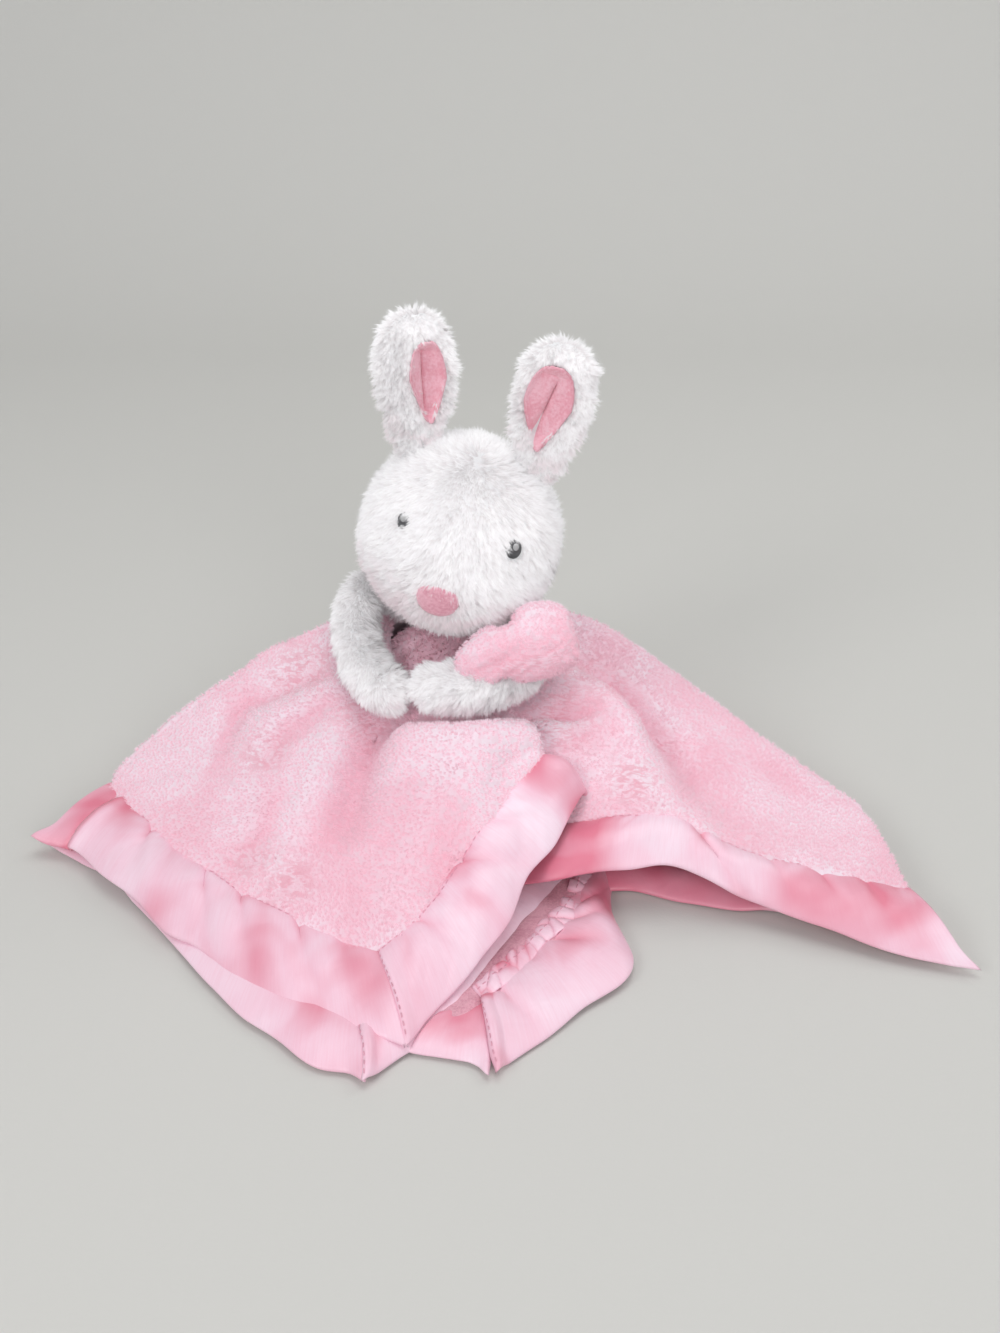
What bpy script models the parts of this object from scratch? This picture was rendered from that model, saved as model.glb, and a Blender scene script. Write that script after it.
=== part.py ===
# Comfort blanket lovey: a stuffed rabbit head with ears and arms, sewn to the middle of a plush
# blanket with a satin binding. It is laid as it is kept: the blanket folded in two along the
# line of the ridge, its front corners spread, and the arms round a fold of the blanket.
# Metres, +Z up. The rabbit faces -Y. Left and right are the viewer's, so left is -X.
# The origin is on the floor, under the neck.

import math

import bmesh
import bpy
import numpy as np
from mathutils import Matrix, Vector

MM = 0.001

# Clearances
SEAT_GAP = 0.3 * MM
SEAM_GAP = 0.2 * MM
STRIP_SEAM_GAP = 0.4 * MM
CUT_OVERRUN = 6.0 * MM
WELD_DISTANCE = 0.01 * MM

# Blanket
BLANKET_SIDE = 356.0 * MM
BLANKET_REACH = BLANKET_SIDE / 2
NECK_HEIGHT = 62.0 * MM
FLEECE_THICKNESS = 3.0 * MM
BINDING_THICKNESS = 3.0 * MM
BINDING_SWELL = 1.9 * MM

# Gathered cloth under the neck
GATHERS_FOOT_RADIUS = 26.0 * MM
GATHERS_PLEATS = 9
GATHERS_PLEAT_DEPTH = 1.2 * MM
GATHERS_BACK = 2.0 * MM
# Height share, radius share of each ring of the gathers
GATHERS_PROFILE_SHARES = [
    (0, 0.92), (0.03, 1.0), (0.5, 1.0), (0.85, 0.93), (0.97, 0.85), (1, 0.72),
]

# Head
HEAD_RADIUS = 37.5 * MM
HEAD_CLEARANCE = 8.2 * MM
HEAD_ROLL = math.radians(13.0)
HEAD_YAW = math.radians(-6.0)
COVER_THICKNESS = 2.5 * MM
MUZZLE_RISE = 4.0 * MM
MUZZLE_DROP = math.radians(14.0)
MUZZLE_SPREAD = math.radians(30.0)

# Neck
NECK_BALL_RADIUS = 7.0 * MM
NECK_STEM_RADIUS = 5.0 * MM
NECK_STEM_SINK = 14.0 * MM
NECK_BACK = 3.0 * MM
NECK_MOUTH_RADIUS = 10.0 * MM
NECK_BALL_RISE = 9.8 * MM

# Face
EYE_SIDE_ANGLE = math.radians(38.5)
EYE_RISE_ANGLE = math.radians(19.5)
EYE_WIDTH = 5.6 * MM
EYE_HEIGHT = 7.2 * MM
EYE_PROUD = 1.3 * MM
GLINT_WIDTH = 1.7 * MM
GLINT_RISE = 1.1 * MM
NOSE_WIDTH = 16.5 * MM
NOSE_HEIGHT = 14.0 * MM
NOSE_PROUD = 1.6 * MM
NOSE_CHIN_SHARE = 0.62
# A subdivided cube shrinks to about three quarters of its cage.
CAGE_SHARE = 1.33

# Ears
EAR_LENGTH = 53.0 * MM
EAR_WIDTH = 31.0 * MM
EAR_ROOT_WIDTH = 19.0 * MM
EAR_ROOT_RADIUS = 4.2 * MM
EAR_THICKNESS = 7.0 * MM
EAR_CUP = 3.5 * MM
EAR_HINGE_RISE = 2.8 * MM
LEFT_EAR_SIDE = math.radians(35.0)
LEFT_EAR_LEAN = math.radians(-15.0)
LEFT_EAR_TURN = math.radians(24.0)
RIGHT_EAR_SIDE = math.radians(31.0)
RIGHT_EAR_LEAN = math.radians(2.0)
RIGHT_EAR_TURN = math.radians(0.0)
LINING_THICKNESS = 1.4 * MM
LINING_WIDTH_SHARE = 0.55
# Shares of the ear's length: its widest place, where its tip thins, the lining's two ends, and
# how far up the root turns into the blade
EAR_FULL_SHARE = 0.6
EAR_TIP_SHARE = 0.8
EAR_LAST_SHARE = 0.99
EAR_BLEND_SHARE = 0.25
LINING_LOW_SHARE = 0.12
LINING_HIGH_SHARE = 0.86
# Bluntness of the ear's tip and of the lining's ends
EAR_TIP_POWER = 2.6
LINING_END_POWER = 4

# Arms
ARM_REACH = 50.0 * MM
ARM_RADIUS = 9.7 * MM
ARM_WALL = 2.5 * MM

# Fold of the blanket that lies over the right arm, under the chin
FOLD_WIDTH = 44.0 * MM
FOLD_HEIGHT = 30.0 * MM
FOLD_DEPTH = 15.0 * MM
FOLD_HEAD_GAP = 2.0 * MM
FOLD_NARROW_SHARE = 0.7
FOLD_THIN_SHARE = 0.8
FOLD_LEAN = math.radians(-38.0)
FOLD_TIP = math.radians(-18.0)

# Faceting
SHEET_STEPS = 2
HEAD_SEGMENTS = 28
HEAD_RINGS = 18
EAR_SEGMENTS = 16
EAR_STEPS = 12
SCREW_STEPS = 24

WHITE_PLUSH = (0.86, 0.86, 0.88)
PINK_FLEECE = (0.91, 0.52, 0.60)
PINK_SATIN = (0.90, 0.56, 0.68)
PINK_LINING = (0.83, 0.36, 0.45)
PINK_NOSE = (0.76, 0.33, 0.42)
DARK_THREAD = (0.05, 0.05, 0.06)
STUFFING = (0.90, 0.90, 0.88)

# Lines of the blanket. Each point is (x, y, z): x and y as shares of the blanket's reach, half
# its side, and z as a share of the neck's height. The floor layers have no z of their own.

# Seam and outer edge of the top layer's left side, from the left tip to the front corner
LEFT_SEAM_SHARES = [
    (-0.77, -0.19, 0.25), (-0.69, -0.30, 0.25), (-0.58, -0.42, 0.23),
    (-0.45, -0.54, 0.23), (-0.30, -0.64, 0.21), (-0.15, -0.72, 0.20),
]
LEFT_EDGE_SHARES = [
    (-0.90, -0.33, 0.09), (-0.79, -0.41, 0.10), (-0.62, -0.58, 0.10),
    (-0.46, -0.73, 0.09), (-0.27, -0.86, 0.09), (-0.09, -0.92, 0.09),
]
# The same of its front side, from the front corner up to the fold over the right run
FRONT_SEAM_SHARES = [
    (-0.15, -0.72, 0.20), (-0.06, -0.62, 0.30), (0.02, -0.50, 0.46), (0.10, -0.39, 0.62),
    (0.16, -0.34, 0.73),
]
FRONT_EDGE_SHARES = [
    (-0.09, -0.92, 0.09), (0.03, -0.77, 0.15), (0.13, -0.59, 0.30), (0.20, -0.46, 0.43),
    (0.25, -0.39, 0.57),
]
# The same of the right run, from under the fold to the right corner
RIGHT_SEAM_SHARES = [
    (0.20, -0.39, 0.36), (0.27, -0.41, 0.44), (0.35, -0.42, 0.48), (0.43, -0.41, 0.48),
    (0.49, -0.43, 0.42), (0.58, -0.47, 0.32), (0.70, -0.49, 0.27), (0.82, -0.51, 0.23),
    (0.91, -0.525, 0.18),
]
RIGHT_EDGE_SHARES = [
    (0.19, -0.54, 0.24), (0.25, -0.54, 0.29), (0.33, -0.535, 0.33), (0.41, -0.525, 0.34),
    (0.49, -0.54, 0.27), (0.59, -0.57, 0.19), (0.71, -0.62, 0.13), (0.86, -0.68, 0.08),
    (1.00, -0.72, 0.06),
]

# Top layer from the neck to the seam. Each ray starts behind the arms and passes their hollow,
# the first crest, the middle of the slope and its foot.
FRONT_RAY_SHARES = [
    [(-0.15, 0.12, 0.97), (-0.28, 0.11, 0.92), (-0.43, 0.08, 0.74), (-0.57, 0.02, 0.53),
     (-0.70, -0.07, 0.34)],
    [(-0.16, 0.07, 0.95), (-0.26, 0.03, 0.88), (-0.38, -0.03, 0.74), (-0.49, -0.11, 0.55),
     (-0.60, -0.21, 0.37)],
    [(-0.16, 0.01, 0.94), (-0.24, -0.03, 0.81), (-0.32, -0.11, 0.66), (-0.42, -0.20, 0.50),
     (-0.51, -0.31, 0.35)],
    [(-0.15, -0.04, 0.90), (-0.22, -0.11, 0.77), (-0.28, -0.19, 0.71), (-0.35, -0.29, 0.56),
     (-0.41, -0.43, 0.39)],
    [(-0.13, -0.10, 0.85), (-0.19, -0.17, 0.69), (-0.22, -0.26, 0.61), (-0.26, -0.37, 0.47),
     (-0.28, -0.51, 0.32)],
    [(-0.10, -0.14, 0.81), (-0.135, -0.21, 0.69), (-0.16, -0.29, 0.65), (-0.165, -0.40, 0.55),
     (-0.16, -0.57, 0.35)],
    [(-0.055, -0.16, 0.77), (-0.08, -0.24, 0.73), (-0.08, -0.33, 0.87), (-0.07, -0.42, 0.70),
     (-0.06, -0.52, 0.48)],
    [(-0.01, -0.17, 0.76), (-0.01, -0.26, 0.75), (0.005, -0.33, 0.90), (0.01, -0.39, 0.80),
     (0.015, -0.45, 0.60)],
    [(0.04, -0.16, 0.76), (0.06, -0.25, 0.76), (0.08, -0.31, 0.90), (0.085, -0.345, 0.84),
     (0.09, -0.365, 0.72)],
    [(0.09, -0.14, 0.76), (0.115, -0.23, 0.77), (0.14, -0.285, 0.85), (0.15, -0.31, 0.82),
     (0.155, -0.325, 0.76)],
]
# Rays of the right half, from under the fold round to the ridge
RIGHT_RAY_SHARES = [
    [(0.15, -0.10, 0.86), (0.17, -0.17, 0.79), (0.17, -0.24, 0.71), (0.17, -0.30, 0.60),
     (0.18, -0.35, 0.48)],
    [(0.16, -0.07, 0.90), (0.20, -0.15, 0.86), (0.22, -0.20, 0.77), (0.24, -0.27, 0.68),
     (0.26, -0.35, 0.56)],
    [(0.17, -0.04, 0.93), (0.22, -0.13, 0.93), (0.28, -0.19, 0.85), (0.31, -0.26, 0.71),
     (0.33, -0.34, 0.60)],
    [(0.17, -0.01, 0.94), (0.26, -0.09, 0.89), (0.35, -0.18, 0.79), (0.38, -0.26, 0.66),
     (0.41, -0.34, 0.56)],
    [(0.17, 0.02, 0.95), (0.28, -0.05, 0.84), (0.39, -0.15, 0.61), (0.44, -0.24, 0.50),
     (0.47, -0.34, 0.45)],
    [(0.17, 0.05, 0.96), (0.31, -0.02, 0.84), (0.45, -0.11, 0.60), (0.52, -0.22, 0.44),
     (0.56, -0.35, 0.35)],
    [(0.17, 0.07, 0.97), (0.32, 0.03, 0.86), (0.50, -0.06, 0.58), (0.61, -0.19, 0.40),
     (0.67, -0.35, 0.31)],
    [(0.16, 0.10, 0.97), (0.32, 0.07, 0.89), (0.52, 0.00, 0.58), (0.67, -0.13, 0.36),
     (0.78, -0.31, 0.26)],
    [(0.15, 0.13, 0.97), (0.30, 0.10, 0.90), (0.52, 0.02, 0.56), (0.71, -0.12, 0.31),
     (0.87, -0.29, 0.20)],
]
# Back of the blanket: the ridge from the left tip over the neck to the right corner, and how far
# the cloth stands out behind it at mid height and at the floor
BACK_RIDGE_SHARES = [
    (-0.77, -0.175, 0.23), (-0.70, -0.06, 0.33), (-0.57, 0.03, 0.52), (-0.43, 0.09, 0.74),
    (-0.28, 0.12, 0.92), (-0.15, 0.132, 0.97), (0.00, 0.16, 0.95), (0.15, 0.15, 0.95),
    (0.30, 0.12, 0.88), (0.52, 0.04, 0.54), (0.71, -0.10, 0.29), (0.87, -0.27, 0.18),
]
BACK_SPREAD_SHARES = [
    (0.012, 0.03), (0.04, 0.06), (0.03, 0.09), (0.075, 0.10), (0.04, 0.09), (0.085, 0.10),
    (0.05, 0.09), (0.08, 0.10), (0.035, 0.09), (0.06, 0.09), (0.03, 0.06), (0.012, 0.03),
]
# Layer on the floor: the seam and edge of its left side, of its front side, and the corner that
# is turned over beside it
UNDER_LEFT_SEAM_SHARES = [
    (-0.80, -0.21), (-0.67, -0.27), (-0.54, -0.40), (-0.41, -0.57), (-0.28, -0.73),
    (-0.17, -0.86),
]
UNDER_LEFT_EDGE_SHARES = [
    (-0.89, -0.32), (-0.76, -0.42), (-0.62, -0.57), (-0.47, -0.76), (-0.30, -0.93),
    (-0.16, -1.00),
]
UNDER_FRONT_SEAM_SHARES = [(-0.17, -0.86), (-0.10, -0.70), (0.00, -0.56), (0.07, -0.44)]
UNDER_FRONT_EDGE_SHARES = [(-0.16, -1.00), (-0.03, -0.87), (0.09, -0.67), (0.19, -0.50)]
CORNER_CREASE_SHARES = [
    (-0.03, -0.85), (0.02, -0.77), (0.08, -0.66), (0.13, -0.57), (0.18, -0.49),
]
CORNER_SEAM_SHARES = [(-0.02, -0.87), (0.05, -0.80), (0.14, -0.68), (0.20, -0.59), (0.25, -0.50)]
CORNER_EDGE_SHARES = [(-0.09, -0.93), (0.07, -0.98), (0.23, -0.84), (0.34, -0.70), (0.31, -0.51)]
UNDER_RIGHT_SEAM_SHARES = [
    (0.33, -0.34), (0.43, -0.36), (0.55, -0.38), (0.68, -0.41), (0.80, -0.45), (0.90, -0.50),
]
UNDER_RIGHT_EDGE_SHARES = [
    (0.36, -0.48), (0.46, -0.51), (0.57, -0.53), (0.69, -0.56), (0.83, -0.61), (0.94, -0.665),
]
UNDER_BACK_SHARES = [
    (-0.80, -0.18), (-0.62, 0.09), (-0.32, 0.20), (0.00, 0.24), (0.32, 0.20), (0.66, 0.06),
    (0.90, -0.24),
]
UNDER_MIDDLE_SHARES = [
    (-0.72, -0.22), (-0.48, -0.30), (-0.25, -0.42), (-0.04, -0.36), (0.18, -0.22), (0.50, -0.16),
    (0.90, -0.34),
]
UNDER_FRONT_SHARES = [
    (-0.67, -0.27), (-0.41, -0.57), (-0.17, -0.86), (0.00, -0.56), (0.10, -0.38), (0.55, -0.38),
    (0.90, -0.50),
]

# Arms, from the shoulder to the paw: across, forwards and up from the neck's height as shares
# of the arm's reach, then the arm's thickness there as a share of its radius
LEFT_ARM_SHARES = [
    (-0.37, -0.24, 0.095, 0.60), (-0.57, -0.35, 0.17, 0.85), (-0.73, -0.32, 0.235, 0.96),
    (-0.82, -0.08, 0.20, 1.00), (-0.82, 0.17, 0.08, 1.00), (-0.75, 0.39, -0.02, 1.02),
    (-0.64, 0.58, -0.08, 1.04), (-0.51, 0.71, -0.06, 0.98), (-0.41, 0.76, -0.04, 0.60),
]
RIGHT_ARM_SHARES = [
    (0.38, -0.14, 0.12, 0.60), (0.49, 0.04, 0.15, 0.80), (0.53, 0.28, 0.16, 0.90),
    (0.51, 0.55, 0.13, 0.96), (0.38, 0.77, 0.09, 1.00), (0.14, 0.86, 0.06, 1.04),
    (-0.10, 0.85, 0.04, 1.06), (-0.24, 0.80, 0.02, 0.96), (-0.33, 0.76, 0.00, 0.58),
]
FOLD_PLACE_SHARES = (0.42, 0.81, 0.36)


# Scene and materials

def clear_scene():
    for thing in list(bpy.data.objects):
        bpy.data.objects.remove(thing)


def new_collection(name):
    group = bpy.data.collections.new(name)
    bpy.context.scene.collection.children.link(group)
    return group


def new_material(name, colour, roughness):
    material = bpy.data.materials.new(name)
    material.use_nodes = True
    material.diffuse_color = (*colour, 1)
    shader = material.node_tree.nodes["Principled BSDF"]
    shader.inputs["Base Color"].default_value = (*colour, 1)
    shader.inputs["Roughness"].default_value = roughness
    shader.inputs["Metallic"].default_value = 0
    return material


def add_object(name, mesh, material):
    thing = bpy.data.objects.new(name, mesh)
    parts.objects.link(thing)
    mesh.materials.append(material)
    mesh.shade_smooth()
    mesh.set_sharp_from_angle(angle=math.radians(50))
    return thing


def add_cutter(name, mesh):
    thing = bpy.data.objects.new(name, mesh)
    cutters.objects.link(thing)
    thing.hide_render = True
    thing.display_type = "WIRE"
    return thing


def cut(target, *tools):
    for tool in tools:
        modifier = target.modifiers.new("cut " + tool.name, "BOOLEAN")
        modifier.operation = "DIFFERENCE"
        modifier.object = tool


def mesh_from(name, build):
    """A mesh made by one bmesh function, with its faces pointing out."""
    shape = bmesh.new()
    build(shape)
    bmesh.ops.recalc_face_normals(shape, faces=shape.faces)
    mesh = bpy.data.meshes.new(name)
    shape.to_mesh(mesh)
    shape.free()
    return mesh


# Smooth curves and lofts

def smooth_line(points, steps):
    """Catmull-Rom points through the given ones, with so many steps between two of them."""
    points = np.asarray(points, float)
    before = 2 * points[0] - points[1]
    after = 2 * points[-1] - points[-2]
    padded = np.concatenate([[before], points, [after]])
    line = []
    for index in range(1, len(padded) - 2):
        a, b, c, d = padded[index - 1:index + 3]
        for step in range(steps):
            t = step / steps
            line.append(
                b + (c - a) * t / 2 + (2 * a - 5 * b + 4 * c - d) * t**2 / 2
                + (3 * b - a - 3 * c + d) * t**3 / 2
            )
    line.append(points[-1])
    return np.array(line)


def pull_in(grid, gap):
    """Draws the first line of a grid back by the gap, towards the second one."""
    way = grid[1] - grid[0]
    length = np.linalg.norm(way, axis=-1, keepdims=True)
    grid[0] += way / np.maximum(length, gap) * gap


def sheet_mesh(name, lines, gap):
    """An open sheet through lines of points, its four edges short by the gap."""
    grid = np.array([smooth_line(line, SHEET_STEPS) for line in lines])
    grid = np.swapaxes(smooth_line(grid, SHEET_STEPS), 0, 1).copy()
    for edge in (grid, grid[::-1], grid.swapaxes(0, 1), grid.swapaxes(0, 1)[::-1]):
        pull_in(edge, gap)
    rows, columns = grid.shape[:2]

    def build(shape):
        corners = [[shape.verts.new(point) for point in row] for row in grid]
        for r in range(rows - 1):
            for c in range(columns - 1):
                shape.faces.new((corners[r][c], corners[r + 1][c],
                                 corners[r + 1][c + 1], corners[r][c + 1]))

    return mesh_from(name, build)


def thicken(thing, thickness):
    solidify = thing.modifiers.new("thickness", "SOLIDIFY")
    solidify.thickness = thickness
    solidify.offset = 0


def sheet(name, lines, thickness, material, gap):
    """A sheet of cloth, and the cutter that keeps its neighbours a seat gap clear of it."""
    thing = add_object(name, sheet_mesh(name, lines, gap), material)
    thicken(thing, thickness)
    clear = add_cutter(name + "_clear", sheet_mesh(name, lines, SEAM_GAP - SEAT_GAP))
    thicken(clear, thickness + 2 * SEAT_GAP)
    return thing, clear


def ring_loft(name, rings):
    """A closed solid through rings of equally many points, each end closed by a fan."""
    def build(shape):
        loops = [[shape.verts.new(point) for point in ring] for ring in rings]
        count = len(loops[0])
        for low, high in zip(loops, loops[1:]):
            for i in range(count):
                j = (i + 1) % count
                shape.faces.new((low[i], low[j], high[j], high[i]))
        for loop in (loops[0], loops[-1]):
            middle = shape.verts.new(sum((v.co for v in loop), Vector()) / count)
            for i in range(count):
                shape.faces.new((loop[i], loop[(i + 1) % count], middle))

    return mesh_from(name, build)


def cylinder(name, radius, depth, matrix):
    return mesh_from(name, lambda shape: bmesh.ops.create_cone(
        shape, cap_ends=True, segments=SCREW_STEPS, radius1=radius, radius2=radius,
        depth=depth, matrix=matrix))


def ball(name, radius, matrix, segments=SCREW_STEPS, rings=SCREW_STEPS // 2):
    return mesh_from(name, lambda shape: bmesh.ops.create_uvsphere(
        shape, u_segments=segments, v_segments=rings, radius=radius, matrix=matrix))


def along(direction):
    """The turn that lays +Z along a direction."""
    return Vector(direction).to_track_quat("Z", "Y").to_matrix().to_4x4()


# Frames of the head

HEAD_CENTRE = Vector((0, 0, NECK_HEIGHT + HEAD_CLEARANCE + HEAD_RADIUS))
HEAD_FRAME = (Matrix.Translation(HEAD_CENTRE) @ Matrix.Rotation(HEAD_YAW, 4, "Z")
              @ Matrix.Rotation(HEAD_ROLL, 4, "Y"))
NOD_CENTRE = Vector((0, NECK_BACK, HEAD_CENTRE.z - HEAD_RADIUS + NECK_BALL_RISE))


def head_way(side_angle, rise_angle):
    """Direction in the head's frame, sideways from the face and up from level."""
    return Vector((math.sin(side_angle) * math.cos(rise_angle),
                   -math.cos(side_angle) * math.cos(rise_angle), math.sin(rise_angle)))


def head_reach(way):
    """Distance from the head's centre to its skin, fuller at the muzzle."""
    angle = way.angle(head_way(0, -MUZZLE_DROP))
    return HEAD_RADIUS + MUZZLE_RISE * math.exp(-(angle / MUZZLE_SPREAD) ** 2)


def head_form(name, inset):
    """The head's skin as a closed solid, drawn in by the inset."""
    mesh = ball(name, 1, Matrix.Identity(4), HEAD_SEGMENTS, HEAD_RINGS)
    for corner in mesh.vertices:
        way = corner.co.normalized()
        corner.co = HEAD_FRAME @ (way * (head_reach(way) - inset))
    return mesh


# Sub-parts

def make_head():
    skin = COVER_THICKNESS
    room = 2 * (HEAD_RADIUS + MUZZLE_RISE + CUT_OVERRUN)
    hollow = add_cutter("head_hollow", head_form("head_hollow", skin))
    mouth_depth = NECK_BALL_RISE + CUT_OVERRUN
    mouth = add_cutter("neck_mouth", cylinder(
        "neck_mouth", NECK_MOUTH_RADIUS, mouth_depth,
        Matrix.Translation(NOD_CENTRE - Vector((0, 0, mouth_depth / 2)))))
    grooves = [ear_groove(side_name) for side_name in EARS]
    for name, side in (("front", 1), ("back", -1)):
        half = mesh_from("half", lambda shape: bmesh.ops.create_cube(shape, size=room))
        half.transform(HEAD_FRAME @ Matrix.Translation((0, side * (room / 2 - SEAM_GAP), 0)))
        cover = add_object("head_" + name + "_cover", head_form(name, 0), plush)
        cut(cover, hollow, add_cutter("head_" + name + "_side", half), mouth, *grooves)
    filling = add_object("head_stuffing", head_form("stuffing", skin + SEAT_GAP), stuffing)
    socket = ball("neck_socket", NECK_BALL_RADIUS + SEAT_GAP, Matrix.Translation(NOD_CENTRE))
    cut(filling, add_cutter("neck_socket", socket), mouth)


def make_neck():
    """A turned stub: a ball in the head's stuffing on a stem sunk in the gathers."""
    ball_top = NECK_BALL_RADIUS
    meet = math.asin(NECK_STEM_RADIUS / NECK_BALL_RADIUS)
    arc_steps = 8
    profile = []
    for step in range(arc_steps + 1):
        angle = (math.pi - meet) * step / arc_steps
        profile.append((ball_top * math.sin(angle), ball_top * math.cos(angle)))
    foot = NECK_HEIGHT - NECK_STEM_SINK - NOD_CENTRE.z
    profile += [(NECK_STEM_RADIUS, foot), (0, foot)]
    mesh = bpy.data.meshes.new("neck_stub")
    mesh.from_pydata([(x, 0, z) for x, z in profile],
                     [(i, i + 1) for i in range(len(profile) - 1)], [])
    stub = add_object("neck_stub", mesh, plush)
    stub.location = NOD_CENTRE
    screw = stub.modifiers.new("turn", "SCREW")
    screw.steps = SCREW_STEPS
    screw.render_steps = SCREW_STEPS
    screw.use_merge_vertices = True
    screw.merge_threshold = WELD_DISTANCE


def make_face():
    skin = add_cutter("head_skin", head_form("head_skin", -SEAT_GAP))
    for name, side in (("left_eye", -1), ("right_eye", 1)):
        way = head_way(side * EYE_SIDE_ANGLE, EYE_RISE_ANGLE)
        seat = (HEAD_FRAME @ Matrix.Translation(way * head_reach(way))
                @ way.to_track_quat("Z", "Y").to_matrix().to_4x4())
        half_sizes = (EYE_WIDTH / 2, EYE_HEIGHT / 2, EYE_PROUD + SEAT_GAP)
        eye_mesh = ball(name, 1, Matrix.Identity(4), 16, 8)
        eye_mesh.transform(seat @ Matrix.Diagonal((*half_sizes, 1)))
        eye = add_object(name, eye_mesh, thread)
        cut(eye, skin)
        rim = [size + SEAT_GAP for size in half_sizes]
        clear = ball(name + "_clear", 1, Matrix.Identity(4), 16, 8)
        clear.transform(seat @ Matrix.Diagonal((*rim, 1)))
        glint_mesh = ball(name + "_glint", 1, Matrix.Identity(4), 12, 8)
        glint_mesh.transform(
            seat @ Matrix.Translation((0, GLINT_RISE, EYE_PROUD))
            @ Matrix.Diagonal((GLINT_WIDTH / 2, GLINT_WIDTH / 2, GLINT_WIDTH / 2, 1)))
        glint = add_object(name + "_glint", glint_mesh, glint_thread)
        cut(glint, add_cutter(name + "_clear", clear))
    make_nose(skin)


def make_nose(skin):
    """A padded patch, wider at the top, from a coarse cage."""
    way = head_way(0, -MUZZLE_DROP)
    seat = (HEAD_FRAME @ Matrix.Translation(way * head_reach(way))
            @ way.to_track_quat("Z", "Y").to_matrix().to_4x4())
    mesh = mesh_from("nose_patch", lambda shape: bmesh.ops.create_cube(shape, size=1))
    for corner in mesh.vertices:
        if corner.co.y < 0:
            corner.co.x *= NOSE_CHIN_SHARE
    mesh.transform(seat @ Matrix.Diagonal(
        (NOSE_WIDTH * CAGE_SHARE, NOSE_HEIGHT * CAGE_SHARE, NOSE_PROUD * 2 * CAGE_SHARE, 1)))
    nose = add_object("nose_patch", mesh, nose_felt)
    rounding = nose.modifiers.new("round", "SUBSURF")
    rounding.levels = 3
    rounding.render_levels = 3
    cut(nose, skin)


# Side angle from the crown, lean and turn of each ear
EARS = {
    "left": (-LEFT_EAR_SIDE, LEFT_EAR_LEAN, LEFT_EAR_TURN),
    "right": (RIGHT_EAR_SIDE, RIGHT_EAR_LEAN, RIGHT_EAR_TURN),
}


def ear_axes(side_name):
    """Hinge point, width, forward and upward directions of an ear, in world space."""
    side, lean, turn = EARS[side_name]
    out = Vector((math.sin(side), 0, math.cos(side)))
    up = Vector((math.sin(lean), 0, math.cos(lean)))
    width = Matrix.Rotation(turn, 3, up) @ Vector((math.cos(lean), 0, -math.sin(lean)))
    # The root follows the skin, so the hinge line has no part along the way out.
    root_width = (width - out * width.dot(out)).normalized()
    hinge = out * (HEAD_RADIUS + EAR_HINGE_RISE)
    turned = HEAD_FRAME.to_3x3()
    return HEAD_FRAME @ hinge, turned @ root_width, turned @ width, turned @ up, turned @ out


def ear_groove(side_name):
    """Round groove in the head's covers that the ear's root turns in."""
    hinge, root_width = ear_axes(side_name)[:2]
    length = EAR_ROOT_WIDTH + CUT_OVERRUN
    name = side_name + "_ear_groove"
    matrix = Matrix.Translation(hinge) @ along(root_width)
    return add_cutter(name, cylinder(name, EAR_ROOT_RADIUS + SEAT_GAP, length, matrix))


def ear_width_at(share):
    """Half width along the ear: narrow root, fullest past the middle, round tip."""
    root = EAR_ROOT_WIDTH / 2
    full = EAR_WIDTH / 2
    width = root + (full - root) * math.sin(math.pi / 2 * min(share / EAR_FULL_SHARE, 1))
    if share > EAR_FULL_SHARE:
        past = (share - EAR_FULL_SHARE) / (1 - EAR_FULL_SHARE)
        width *= math.sqrt(1 - past ** EAR_TIP_POWER)
    return width


def ear_stations():
    """Height above the hinge, half width and half thickness of each section of an ear."""
    root_steps = 4
    stations = []
    for step in range(root_steps):
        angle = math.pi / 2 * (step + 0.5) / root_steps
        stations.append((-EAR_ROOT_RADIUS * math.cos(angle), EAR_ROOT_WIDTH / 2,
                         EAR_ROOT_RADIUS * math.sin(angle)))
    for step in range(EAR_STEPS + 1):
        share = step / EAR_STEPS * EAR_LAST_SHARE
        blend = min(share / EAR_BLEND_SHARE, 1)
        thin = EAR_ROOT_RADIUS + (EAR_THICKNESS / 2 - EAR_ROOT_RADIUS) * blend
        if share > EAR_TIP_SHARE:
            thin *= math.sqrt(1 - ((share - EAR_TIP_SHARE) / (1 - EAR_TIP_SHARE)) ** 2)
        stations.append((EAR_LENGTH * share, ear_width_at(share), thin))
    return stations


def ear_bend(share, across, width):
    """How far the ear's sides curl forward of its middle."""
    return EAR_CUP * min(share / EAR_BLEND_SHARE, 1) * (across / width) ** 2


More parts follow.
